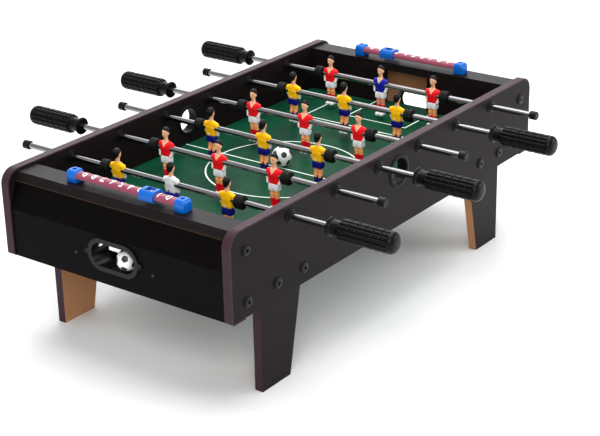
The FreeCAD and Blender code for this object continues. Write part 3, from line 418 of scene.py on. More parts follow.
ZONES = ("hair", "shirt", "arm", "shorts", "leg", "sock", "shoe")


def toy_finish(name, colours, kit):
    """Painted figure: each zone in its colour, the shirt's neck and trims, and a plain painted face."""
    finish = Finish(name, coat_weight=0.04, coat_roughness=0.15, specular_ior_level=0.16)
    x, y, z = finish.vector_attribute("figure")
    zone = {key: finish.attribute(key).above(0.0, 0.08) for key in ZONES}
    side = abs(y)
    skin = finish.mix(colours.skin, shade(colours.skin, 0.82), finish.noise(500.0, 2.0))
    eyes = root_of_squares(side - 1.75, (z - 21.2) * 1.5).below(0.62, 0.12) * x.above(2.0, 0.2)
    brows = abs(z - 22.7 + side * 0.12).below(0.22, 0.1) * abs(side - 1.8).below(1.0, 0.1) * x.above(2.0, 0.2)
    mouth = abs(z - 17.2).below(0.22, 0.1) * side.below(1.25, 0.1) * x.above(2.0, 0.2)
    base = finish.mix(skin, (0.05, 0.03, 0.025), eyes.most(brows))
    base = finish.mix(base, (0.42, 0.10, 0.08), mouth)
    strands = finish.noise(1500.0, 3.0, 0.6, (0.4, 1.0, 0.4))
    base = finish.mix(base, finish.mix(colours.hair, shade(colours.hair, 3.0), strands.above(0.6, 0.2)),
                      zone["hair"])
    neck = (z - 2.6) * 0.62
    collar = x.above(0.5, 0.2) * (side - neck).below(0.0, 0.1)
    trim = x.above(0.5, 0.2) * abs(side - neck).below(0.55, 0.1)
    cuff = abs((z + 0.9) - (side - 12.2) * 0.3).below(0.55, 0.1) * side.above(9.5, 0.2)
    shirt = finish.mix(kit["shirt"], kit["trim"], trim.most(cuff))
    badge = x.below(-1.0, 0.3) * abs(y - 1.6).below(1.3, 0.15) * abs(z + 9.2).below(1.9, 0.15)
    shirt = finish.mix(shirt, kit["badge"], badge)
    shirt = finish.mix(shirt, skin, collar)
    base = finish.mix(base, shirt, zone["shirt"])
    base = finish.mix(base, colours.hands, zone["arm"])
    base = finish.mix(base, kit["shorts"], zone["shorts"])
    base = finish.mix(base, kit["leg"], zone["leg"])
    base = finish.mix(base, kit["sock"], zone["sock"])
    sole = z.below(-46.6, 0.15)
    base = finish.mix(base, finish.mix((0.84, 0.85, 0.84), (0.45, 0.45, 0.45), sole), zone["shoe"])
    finish.put("Base Color", base)
    finish.put("Roughness", 0.32 + zone["hair"] * 0.12 + finish.noise(220.0, 2.0) * 0.08)
    finish.bump(finish.noise(1800.0, 2.0), 0.00004, 0.35)
    return finish.material


def bar_finish(colours):
    finish = Finish("score_bar_plastic", specular_ior_level=0.3)
    flow = finish.noise(60.0, 3.0, 0.5, (1, 0.15, 1))
    finish.put("Base Color", finish.mix(shade(colours.bar, 0.85), shade(colours.bar, 1.3), flow))
    finish.put("Roughness", 0.28 + flow * 0.1)
    return finish.material


def stage_finish(name, tint, rough):
    finish = Finish(name, roughness=rough)
    finish.put("Base Color", finish.mix(tint, shade(tint, 0.985), finish.noise(3.0)))
    return finish.material


def dress(node, material):
    """Gives a CAD node's object one material."""
    mesh = NODES[node].data
    mesh.materials.clear()
    mesh.materials.append(material)


# --- mesh helpers ---------------------------------------------------------------------------------

def linked(name, data):
    """A new object in the scene with the given mesh, curve, light or camera."""
    made = bpy.data.objects.new(name, data)
    bpy.context.scene.collection.objects.link(made)
    return made


def object_from(name, vertices, faces, materials=(), smooth=40.0):
    """A new object from points in metres, shaded smooth up to an angle between faces."""
    mesh = bpy.data.meshes.new(name)
    mesh.from_pydata([tuple(map(float, v)) for v in vertices], [], [tuple(map(int, f)) for f in faces])
    for material in materials:
        mesh.materials.append(material)
    piece = linked(name, mesh)
    tidy_mesh(mesh, smooth)
    return piece


def tidy_mesh(mesh, smooth):
    work = bmesh.new()
    work.from_mesh(mesh)
    bmesh.ops.remove_doubles(work, verts=work.verts, dist=1e-7)
    bmesh.ops.recalc_face_normals(work, faces=work.faces)
    work.to_mesh(mesh)
    work.free()
    mesh.polygons.foreach_set("use_smooth", [True] * len(mesh.polygons))
    mesh.set_sharp_from_angle(angle=math.radians(smooth))


def turned(profile, segments, ripple=None):
    """Vertices and faces of a closed turning about Z from (radius, height) points in mm.

    A point with radius 0 becomes a pole. ripple(radius, height, angle, index) may change a radius.
    """
    vertices, rings = [], []
    for index, (radius, height) in enumerate(profile):
        ring = []
        for step in range(1 if radius == 0 else segments):
            angle = 2 * math.pi * step / segments
            reach = ripple(radius, height, angle, index) if ripple and radius else radius
            ring.append(len(vertices))
            vertices.append((reach * math.cos(angle) * MM, reach * math.sin(angle) * MM, height * MM))
        rings.append(ring)
    poles = 1 in (len(rings[0]), len(rings[-1]))
    faces = []
    for low, high in zip(rings, rings[1:] + ([] if poles else rings[:1])):
        for step in range(segments):
            after = (step + 1) % segments
            corners = [low[step % len(low)], low[after % len(low)],
                       high[after % len(high)], high[step % len(high)]]
            corners = [c for i, c in enumerate(corners) if c not in corners[:i]]
            if len(corners) > 2:
                faces.append(corners)
    return np.array(vertices), faces


def moved(vertices, matrix):
    points = np.c_[vertices, np.ones(len(vertices))] @ np.array(matrix).T
    return points[:, :3]


def repeat_tree():
    """Geometry nodes that set a template on every point, turned by the point's own angles."""
    tree = bpy.data.node_groups.new("Repeat on points", "GeometryNodeTree")
    for name, kind in (("Geometry", "Geometry"), ("Template", "Object"), ("Size", "Float"),
                       ("Finish", "Material")):
        tree.interface.new_socket(name, in_out="INPUT", socket_type=f"NodeSocket{kind}")
    tree.interface.new_socket("Geometry", in_out="OUTPUT", socket_type="NodeSocketGeometry")
    nodes, link = tree.nodes, tree.links.new
    entry, leave = nodes.new("NodeGroupInput"), nodes.new("NodeGroupOutput")
    turn = nodes.new("GeometryNodeInputNamedAttribute")
    turn.data_type = "FLOAT_VECTOR"
    turn.inputs["Name"].default_value = "turn"
    rotation = nodes.new("FunctionNodeEulerToRotation")
    template = nodes.new("GeometryNodeObjectInfo")
    spread = nodes.new("GeometryNodeInstanceOnPoints")
    solid = nodes.new("GeometryNodeRealizeInstances")
    paint = nodes.new("GeometryNodeSetMaterial")
    link(entry.outputs["Template"], template.inputs["Object"])
    link(turn.outputs["Attribute"], rotation.inputs[0])
    link(entry.outputs["Geometry"], spread.inputs["Points"])
    link(template.outputs["Geometry"], spread.inputs["Instance"])
    link(rotation.outputs[0], spread.inputs["Rotation"])
    link(entry.outputs["Size"], spread.inputs["Scale"])
    link(spread.outputs["Instances"], solid.inputs["Geometry"])
    link(solid.outputs["Geometry"], paint.inputs["Geometry"])
    link(entry.outputs["Finish"], paint.inputs["Material"])
    link(paint.outputs["Geometry"], leave.inputs["Geometry"])
    return tree


def repeat(name, template, spots, material):
    """One mesh with a copy of the template at each (place, turn), places in metres."""
    mesh = bpy.data.meshes.new(name)
    mesh.from_pydata([tuple(map(float, place)) for place, turn in spots], [], [])
    turns = mesh.attributes.new("turn", "FLOAT_VECTOR", "POINT")
    turns.data.foreach_set("vector", [float(a) for place, turn in spots for a in turn])
    piece = linked(name, mesh)
    tree = bpy.data.node_groups.get("Repeat on points") or repeat_tree()
    modifier = piece.modifiers.new("Repeat", "NODES")
    modifier.node_group = tree
    values = {"Template": template, "Size": 1.0, "Finish": material}
    for item in tree.interface.items_tree:
        if item.in_out == "INPUT" and item.name in values:
            modifier[item.identifier] = values[item.name]
    bpy.context.view_layer.update()
    solid = bpy.data.meshes.new_from_object(piece.evaluated_get(bpy.context.evaluated_depsgraph_get()))
    piece.modifiers.remove(modifier)
    piece.data = solid
    solid.name = name
    bpy.data.objects.remove(template)
    return piece


def rod_spots():
    """Places on the wall's two sides where each rod passes, with the turn that faces outwards."""
    spots = []
    for rod in RODS:
        x, _, z = middle(f"{rod}_tube")
        for side in (-1, 1):
            spots.append(((x, side * WALL_INNER, z), (-side * math.pi / 2, 0, 0)))
    return spots


# --- player figure --------------------------------------------------------------------------------

def ball_shape(p, centre, radii):
    """Distance to an ellipsoid, near enough for blending."""
    q = p - np.array(centre, float)
    r = np.array(radii, float)
    k0 = np.linalg.norm(q / r, axis=1)
    k1 = np.linalg.norm(q / (r * r), axis=1) + 1e-9
    return k0 * (k0 - 1) / k1


def limb_shape(p, start, end, r0, r1):
    """Distance to a round limb that tapers between two points."""
    a, b = np.array(start, float), np.array(end, float)
    t = np.clip(((p - a) @ (b - a)) / ((b - a) @ (b - a)), 0, 1)
    return np.linalg.norm(p - a - t[:, None] * (b - a), axis=1) - (r0 + (r1 - r0) * t)


def block_shape(p, centre, half, rounding):
    """Distance to a box with rounded edges."""
    q = np.abs(p - np.array(centre, float)) - (np.array(half, float) - rounding)
    return np.linalg.norm(np.maximum(q, 0), axis=1) + np.minimum(q.max(axis=1), 0) - rounding


def blended(shapes, softness):
    """Smooth union of several distances."""
    result = shapes[0]
    for other in shapes[1:]:
        h = np.clip(0.5 + 0.5 * (other - result) / softness, 0, 1)
        result = other + (result - other) * h - softness * h * (1 - h)
    return result


def figure_zones(points):
    """Distances in mm to each painted zone of the figure, which stands on the rod facing +X."""
    p = points.copy()
    p[:, 1] = np.abs(p[:, 1])
    head = blended([ball_shape(p, (0.3, 0, 21.6), (4.9, 4.45, 6.0)),
                    ball_shape(p, (1.2, 0, 17.9), (3.7, 3.2, 3.9)),
                    ball_shape(p, (5.2, 0, 19.6), (1.1, 0.75, 1.3)),
                    ball_shape(p, (-0.2, 4.5, 20.0), (1.1, 0.7, 1.7)),
                    limb_shape(p, (-0.3, 0, 6), (0.2, 0, 15), 3.0, 2.7)], 1.2)
    hair = ball_shape(p, (-0.5, 0, 22.9), (5.5, 5.0, 6.1))
    nape = ball_shape(p, (-2.4, 0, 18.6), (3.2, 4.2, 4.2))
    hair = blended([hair, nape], 1.5)
    fringe = (p[:, 0] - 3.4 - (p[:, 2] - 25.0) * 0.95 + 0.04 * p[:, 1] ** 2) * 0.72
    hair = np.maximum(hair, fringe)
    chest = ball_shape(p, (0.5, 0, 1.5), (5.5, 10.4, 8.5))
    belly = block_shape(p, (0, 0, -4.5), (4.6, 8.2, 7.2), 3.0)
    yoke = limb_shape(p, (-0.2, 0, 6.4), (-0.2, 8.6, 4.9), 3.6, 3.4)
    slope = ball_shape(p, (-0.2, 0, 7.3), (3.4, 6.8, 3.3))
    sleeve = limb_shape(p, (-0.2, 9.2, 4.6), (-0.6, 11.3, -0.4), 3.0, 3.1)
    shirt = blended([chest, belly, yoke, slope, sleeve], 1.6)
    shirt = np.maximum(shirt, -(p[:, 2] + 11.6))
    arm = blended([limb_shape(p, (-0.6, 11.5, -0.6), (1.6, 9.7, -8.4), 2.3, 1.9),
                   ball_shape(p, (2.2, 8.9, -10.0), (2.3, 1.9, 2.2))], 0.8)
    trunk = block_shape(p, (0, 0, -14.5), (4.7, 7.4, 3.6), 1.8)
    thigh = block_shape(p, (0.1, 3.9, -17.0), (4.7, 3.7, 3.9), 1.7)
    shorts = blended([trunk, thigh], 1.0)
    leg = blended([limb_shape(p, (0.2, 3.6, -19), (0.1, 3.45, -40), 3.1, 2.4),
                   ball_shape(p, (0.9, 3.5, -25.6), (2.9, 2.8, 3.4)),
                   ball_shape(p, (-0.8, 3.5, -31.5), (3.0, 2.8, 5.5))], 1.0)
    sock = blended([limb_shape(p, (0.0, 3.5, -32.0), (-0.1, 3.4, -43.5), 3.15, 2.75),
                    ball_shape(p, (-0.7, 3.5, -35.0), (3.1, 2.9, 4.5)),
                    ball_shape(p, (0.0, 3.5, -31.6), (3.6, 3.4, 0.9))], 0.7)
    sole = -47.0
    shoe = blended([block_shape(p, (1.0, 3.45, -45.0), (6.7, 3.1, 2.7), 2.4),
                    ball_shape(p, (-1.2, 3.45, -44.2), (4.2, 3.0, 2.6))], 1.2)
    shoe = np.maximum(shoe, sole - p[:, 2])
    return {"skin": head, "hair": hair, "shirt": shirt, "arm": arm, "shorts": shorts, "leg": leg,
            "sock": sock, "shoe": shoe}


def figure_field(points):
    """Distance to the whole figure, with soft joins where one zone meets the next."""
    zones = figure_zones(points)
    body = blended([zones["shirt"], zones["skin"]], 0.8)
    body = blended([body, zones["arm"]], 0.5)
    body = np.minimum(body, zones["hair"])
    lower = blended([zones["leg"], zones["shoe"]], 0.6)
    lower = np.minimum(np.minimum(lower, zones["sock"]), zones["shorts"])
    return np.minimum(body, lower)


def skin_over(field, low, high, cell):
    """Closed quads where a field crosses zero, one vertex in each cell that the surface passes."""
    axes = [np.arange(a, b + cell, cell) for a, b in zip(low, high)]
    grid = np.stack(np.meshgrid(*axes, indexing="ij"), -1)
    inside = (field(grid.reshape(-1, 3)) < 0).reshape(grid.shape[:3])
    count = sum(inside[i:inside.shape[0] - 1 + i, j:inside.shape[1] - 1 + j, k:inside.shape[2] - 1 + k]
                .astype(int) for i in (0, 1) for j in (0, 1) for k in (0, 1))
    active = (count > 0) & (count < 8)
    number = np.full(active.shape, -1)
    number[active] = np.arange(active.sum())
    centres = grid[:-1, :-1, :-1][active] + cell / 2
    points = centres.copy()
    probe = 0.05
    for _ in range(4):
        value = field(points)
        slope = np.stack([(field(points + probe * axis) - value) / probe for axis in np.eye(3)], 1)
        steepness = (slope * slope).sum(1) + 1e-6
        points = points - slope * (value / steepness)[:, None]
        points = np.clip(points, centres - cell * 0.6, centres + cell * 0.6)
    faces = []
    for axis in range(3):
        across, up = (axis + 1) % 3, (axis + 2) % 3
        size = inside.shape[axis]
        first = np.take(inside, range(size - 1), axis)
        change = first != np.take(inside, range(1, size), axis)
        spots = np.argwhere(change)
        spots = spots[(spots[:, across] > 0) & (spots[:, up] > 0)]
        corners = []
        for step_across, step_up in ((-1, -1), (0, -1), (0, 0), (-1, 0)):
            cell_at = spots.copy()
            cell_at[:, across] += step_across
            cell_at[:, up] += step_up
            corners.append(number[tuple(cell_at.T)])
        quads = np.stack(corners, 1)
        outward = first[tuple(spots.T)]
        faces.append(np.where(outward[:, None], quads, quads[:, ::-1]))
    return points, np.concatenate(faces)


def figure_template(cell):
    """The toy footballer, with the distances that its paint follows stored on its points."""
    points, faces = skin_over(figure_field, (-8.5, -15.5, -50), (10, 15.5, 31), round(cell / MM, 3))
    mesh = bpy.data.meshes.new("figure")
    mesh.from_pydata([tuple(p) for p in points * MM], [], [tuple(f) for f in faces.tolist()])
    zones = figure_zones(points)
    for key in ZONES:
        others = np.min([zones[other] for other in zones if other != key], axis=0)
        layer = mesh.attributes.new(key, "FLOAT", "POINT")
        layer.data.foreach_set("value", (others - zones[key]).astype(np.float32))
    own = mesh.attributes.new("figure", "FLOAT_VECTOR", "POINT")
    own.data.foreach_set("vector", points.astype(np.float32).ravel())
    mesh.polygons.foreach_set("use_smooth", [True] * len(mesh.polygons))
    return linked("figure", mesh)


# --- operators ------------------------------------------------------------------------------------

class FOOSBALL_OT_boards(bpy.types.Operator):
    """Finish the walls, bands, end panels, ledges, goal boards, legs, blocks and the field"""

    bl_idname = "foosball.boards"
    bl_label = "Boards and field"

    def execute(self, context):
        colours, sizes = context.scene.foosball_colours, context.scene.foosball_sizes
        lengthwise = wall_finish(colours, "black_laminate", (0.08, 1, 1))
        band, panel, ledge = band_finish(colours), panel_finish(colours), ledge_finish(colours)
        goal = wall_finish(colours, "goal_board_laminate", (1, 0.08, 1))
        leg, raw = leg_finish(colours), raw_finish(colours)
        finishes = {"side_wall": lengthwise, "edge_band": band, "end_panel": panel, "ledge": ledge,
                    "goal_boards": goal, "corner_blocks": raw}
        for node in NODES:
            for ending, material in finishes.items():
                if node.endswith(ending):
                    dress(node, material)
            if node.startswith("leg_"):
                dress(node, leg)
        dress("playing_field", field_finish(colours, sizes))
        return {"FINISHED"}


class FOOSBALL_OT_rods(bpy.types.Operator):
    """Finish the tubes and end caps, and make the rubber bumpers"""

    bl_idname = "foosball.rods"
    bl_label = "Rods and bumpers"

    def execute(self, context):
        colours = context.scene.foosball_colours
        chrome = chrome_finish()
        cap = plastic_finish("cap_plastic", colours.plastic, 0.30, specular_ior_level=0.16)
        rubber = plastic_finish("bumper_rubber", (0.006, 0.006, 0.006), 0.55, 0.00008,
                                specular_ior_level=0.14)
        for rod in RODS:
            self.tube(rod, chrome)
            dress(f"{rod}_end_cap", cap)
            bumpers = f"{rod}_bumpers"
            low, high = low_corner(bumpers), high_corner(bumpers)
            x, _, z = middle(bumpers)
            bore, radius = ROD_BORE, (high[0] - low[0]) / 2 / MM
            profile = [(bore, 0), (radius - 1.6, 0), (radius - 0.7, 0.3), (radius - 0.15, 0.9), (radius, 1.7),
                       (radius, 5.1), (radius - 0.5, 5.6), (radius - 0.5, 6.4), (radius, 6.9),
                       (radius, 10.3), (radius - 0.15, 11.1), (radius - 0.7, 11.7), (radius - 1.6, 12),
                       (bore, 12)]
            ring = object_from(f"{rod}_ring", *turned(profile, 48))
            spots = [((x, high[1], z), (math.pi / 2, 0, 0)), ((x, low[1], z), (-math.pi / 2, 0, 0))]
            piece = repeat(f"{rod}_bumper_rings", ring, spots, rubber)
            tidy_mesh(piece.data, 50)
            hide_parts(bumpers)
            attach(piece, f"{rod}_slide")
        return {"FINISHED"}

    def tube(self, rod, material):
        """Hollow tube with broken edges, crimped inside the end cap and inside the handle."""
        low, high = low_corner(f"{rod}_tube"), high_corner(f"{rod}_tube")
        x, _, z = middle(f"{rod}_tube")
        bore, radius, crimp, end = 3.0, 4.0, 3.75, (high[1] - low[1]) / MM
        half = [(radius - 0.35, 0), (radius, 0.35), (radius, 4), (crimp, 4.4), (crimp, 6), (radius, 6.4)]
        profile = [(bore, 0), *half, *[(r, end - h) for r, h in reversed(half)], (bore, end)]
        vertices, faces = turned(profile, 48)
        matrix = Matrix.Translation((x, low[1], z)) @ Matrix.Rotation(-math.pi / 2, 4, "X")
        piece = object_from(f"{rod}_chromed_tube", moved(vertices, matrix), faces, [material], 30)
        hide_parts(f"{rod}_tube")
        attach(piece, rod)


class FOOSBALL_OT_players(bpy.types.Operator):
    """Make the painted figures and set them on their rods"""

    bl_idname = "foosball.players"
    bl_label = "Players"

    def execute(self, context):
        colours, sizes = context.scene.foosball_colours, context.scene.foosball_sizes
        red, yellow, navy = (0.90, 0.008, 0.014), (1.0, 0.53, 0.004), (0.006, 0.006, 0.16)
        white, blue = (0.82, 0.83, 0.84), (0.008, 0.012, 0.33)
        legs = colours.leg_skin
        kits = {
            "red": {"shirt": red, "trim": (0.88, 0.35, 0.30), "badge": red, "shorts": white, "leg": legs,
                    "sock": (0.72, 0.004, 0.012)},
            "yellow": {"shirt": yellow, "trim": (0.95, 0.72, 0.10), "badge": white, "shorts": navy,
                       "leg": legs, "sock": (0.012, 0.010, 0.13)},
            "red_keeper": {"shirt": blue, "trim": (0.35, 0.38, 0.75), "badge": blue, "shorts": white,
                           "leg": (0.86, 0.30, 0.20), "sock": (0.72, 0.004, 0.012)},
            "yellow_keeper": {"shirt": white, "trim": (0.6, 0.62, 0.66), "badge": (0.1, 0.1, 0.2),
                              "shorts": (0.01, 0.012, 0.30), "leg": legs, "sock": (0.012, 0.010, 0.13)},
        }
        paint = {key: toy_finish(f"{key}_paint", colours, kit) for key, kit in kits.items()}
        template = figure_template(sizes.figure_cell)
        half_figure = 13.5 * MM
        pitch = high_corner("rod1_players")[1] - middle("rod1_players")[1] - half_figure
        for index, rod in enumerate(RODS):
            team = "yellow" if index % 2 == 0 else "red"
            x, _, z = middle(f"{rod}_tube")
            turn = (0, 0, 0 if team == "yellow" else math.pi)
            keeper = index in (0, len(RODS) - 1)
            places = {f"{rod}_team": [-1, 1] if keeper else [-1, 0, 1]}
            if keeper:
                places[f"{rod}_keeper"] = [0]
            for name, columns in places.items():
                copy = linked("figure_copy", template.data)
                spots = [((x, column * pitch, z), turn) for column in columns]
                look = paint[f"{team}_keeper" if name.endswith("keeper") else team]
                piece = repeat(name, copy, spots, look)
                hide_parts(f"{rod}_players")
                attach(piece, rod)
        bpy.data.objects.remove(template)
        return {"FINISHED"}


class FOOSBALL_OT_handles(bpy.types.Operator):
    """Make the ribbed handles"""

    bl_idname = "foosball.handles"
    bl_label = "Handles"

    def execute(self, context):
        colours, sizes = context.scene.foosball_colours, context.scene.foosball_sizes
        grip = plastic_finish("handle_plastic", colours.grip, 0.27, 0.00006, specular_ior_level=0.13)
        ribs, rings = sizes.grip_ribs, sizes.grip_rings
        flute_end, end = 86.5, 94.0
        ring_pitch = 11.0
        first_ring = end - 7 - ring_pitch * rings
        profile = [(0, 60), (ROD_BORE, 60), (ROD_BORE, 0), (10.9, 0), (11.7, 0.35), (12, 1.1), (12, 2.2),
                   (11.6, 3.0), (10.4, 3.6), (9.75, 4.4), (9.5, 5.6), (9.45, 9), (9.4, 12.5),
                   (9.5, 14.8), (9.9, 16.2)]
        for step in range(7):
            turn = math.pi / 2 * step / 6
            profile.append((10.2 + 3.3 * math.sin(turn), 20.2 - 3.2 * math.cos(turn)))
        steps = np.arange(21.0, flute_end, 0.55)
        profile += [(13.5, float(s)) for s in steps]
        for step in range(1, 13):
            turn = math.pi / 2 * step / 12
            profile.append((13.5 * math.cos(turn) ** 0.62 if step < 12 else 0, 86.3 + 7.7 * math.sin(turn)))

        def ripple(radius, height, angle, index):
            if height < 16.5 or radius < 9.6:
                return radius
            start = min(1.0, max(0.0, (height - 17.0) / 2.2))
            stop = min(1.0, max(0.0, (flute_end - height) / 2.0))
            narrow = (0.5 + 0.5 * math.cos(ribs * angle)) ** 5
            crown = 0.35 * (0.5 + 0.5 * math.cos(ribs * angle))
            depth = (1.55 * narrow + crown) * start * stop
            for ring in range(rings):
                place = first_ring + ring_pitch * ring
                depth = max(depth, 1.15 * math.exp(-((height - place) / 0.85) ** 2))
            return radius - depth

        vertices, faces = turned(profile, ribs * 10, ripple)
        for rod in RODS:
            node = f"{rod}_handle"
            low, high = low_corner(node), high_corner(node)
            x, y, z = middle(node)
            side = 1 if y > 0 else -1
            start = low[1] if side > 0 else high[1]
            outwards = Euler((-side * math.pi / 2, 0, 0)).to_matrix().to_4x4()
            matrix = Matrix.Translation((x, start, z)) @ outwards
            piece = object_from(f"{rod}_grip", moved(vertices, matrix), faces, [grip], 55)
            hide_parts(node)
            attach(piece, rod)
        return {"FINISHED"}


class FOOSBALL_OT_wall_mouldings(bpy.types.Operator):
    """Make the rod bushings with their lobed hubs, and the rings of the serving holes"""

    bl_idname = "foosball.wall_mouldings"
    bl_label = "Bushings and rings"

    def execute(self, context):
        colours, sizes = context.scene.foosball_colours, context.scene.foosball_sizes
        plastic = plastic_finish("moulded_black", colours.plastic, 0.24, specular_ior_level=0.08)
        wall = BOARD / MM
        bore = ROD_BORE
        profile = [(bore, -3.0), (5.6, -3.0), (6.1, -2.8), (6.3, -2.2), (6.4, -1.6), (8.2, -1.4), (8.8, -1.1),
                   (9.0, -0.6), (9.0, 0), (6.0, 0), (6.0, wall), (9.0, wall), (9.0, wall + 0.6),
                   (8.8, wall + 1.1), (8.2, wall + 1.4), (6.4, wall + 1.6), (6.3, wall + 2.2),
                   (6.1, wall + 2.8), (5.6, wall + 3.0), (bore, wall + 3.0)]

        def lobes(radius, height, angle, index):
            hub = 5.5 < radius < 6.5 and (height < -1 or height > wall + 1)
            return radius - 0.55 * (0.5 + 0.5 * math.cos(sizes.bushing_lobes * angle)) ** 2 if hub else radius

        bushing = object_from("bushing", *turned(profile, 64, lobes))
        piece = repeat("bushings", bushing, rod_spots(), plastic)
        tidy_mesh(piece.data, 45)
        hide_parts("rod_bushings")
        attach(piece, "table")
        centre = middle("serve_hole_rings")
        profile = [(17.5, -1.2), (17.9, -1.55), (18.8, -1.6), (21.4, -1.4), (22.2, -1.0), (22.5, -0.4),
                   (22.5, 0), (20, 0), (20, wall), (22.5, wall), (22.5, wall + 0.4), (22.2, wall + 1.0),
                   (21.4, wall + 1.4), (19.6, wall + 1.45), (19.3, wall + 1.1), (18.9, wall + 1.1),
                   (18.6, wall + 1.6), (17.9, wall + 1.55), (17.5, wall + 1.2)]
        ring = object_from("serving_ring", *turned(profile, 96))
        spots = [((centre[0], side * WALL_INNER, centre[2]), (-side * math.pi / 2, 0, 0)) for side in (-1, 1)]
        piece = repeat("serving_rings", ring, spots, plastic)
        tidy_mesh(piece.data, 45)
        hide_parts("serve_hole_rings")
        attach(piece, "table")
        tray = plastic_finish("tray_plastic", colours.plastic, 0.22, specular_ior_level=0.18)
        for end in ENDS:
            dress(f"{end}_ball_tray", tray)
        return {"FINISHED"}


def socket_head(profile, corners):
    """A turned head and shank with a polygonal socket sunk in the head's top."""
    segments = corners * 8

    def walls(radius, height, angle, index):
        if index < len(profile) - 3:
            return radius
        part = 2 * math.pi / corners
        return radius * math.cos(part / 2) / math.cos((angle % part) - part / 2)

    return turned(profile, segments, walls)


class FOOSBALL_OT_fasteners(bpy.types.Operator):
    """Make the box bolts, and finish the small screws and the tee nuts"""

    bl_idname = "foosball.fasteners"
    bl_label = "Bolts and screws"

    def execute(self, context):
        black = metal_finish("black_oxide", (0.012, 0.0115, 0.012), 0.30, metallic=0.8)
        zinc = metal_finish("zinc_plate", (0.55, 0.55, 0.57), 0.30)
        profile = [(0, -24), (2.9, -24), (2.9, 0), (6.9, 0), (7.2, 0.4), (7.15, 0.9), (6.7, 1.6), (5.6, 2.25),
                   (4.2, 2.55), (2.9, 2.6), (2.5, 2.5), (2.35, 0.8), (0, 0.8)]
        head = object_from("bolt", *socket_head(profile, 6))
        spots = []
        for side in (-1, 1):
            for reach, height in self.bolt_places():
                spots.append(((reach, side * WALL_OUTER, height), (-side * math.pi / 2, 0, 0)))
        piece = repeat("box_bolts", head, spots, black)
        tidy_mesh(piece.data, 35)
        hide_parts("wall_bolts")
        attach(piece, "table")
        dress("tee_nuts", zinc)
        dress("small_screws", metal_finish("dark_screw", (0.035, 0.035, 0.037), 0.35))
        return {"FINISHED"}

    def bolt_places(self):
        """Where the bolts are, from the leg boards and the end panels."""
        outer = high_corner("leg_red_far")[0]
        end = high_corner("far_edge_band")[0]
        panel_bolts = [(end - 29 * MM, FIELD_TOP + 40.5 * MM), (end - 29 * MM, FIELD_TOP - 25 * MM)]
        leg_bolts = [(outer - inset * MM, FIELD_TOP - 23.5 * MM) for inset in (20, 72.5)]
        return [(side * reach, height) for side in (-1, 1) for reach, height in panel_bolts + leg_bolts]


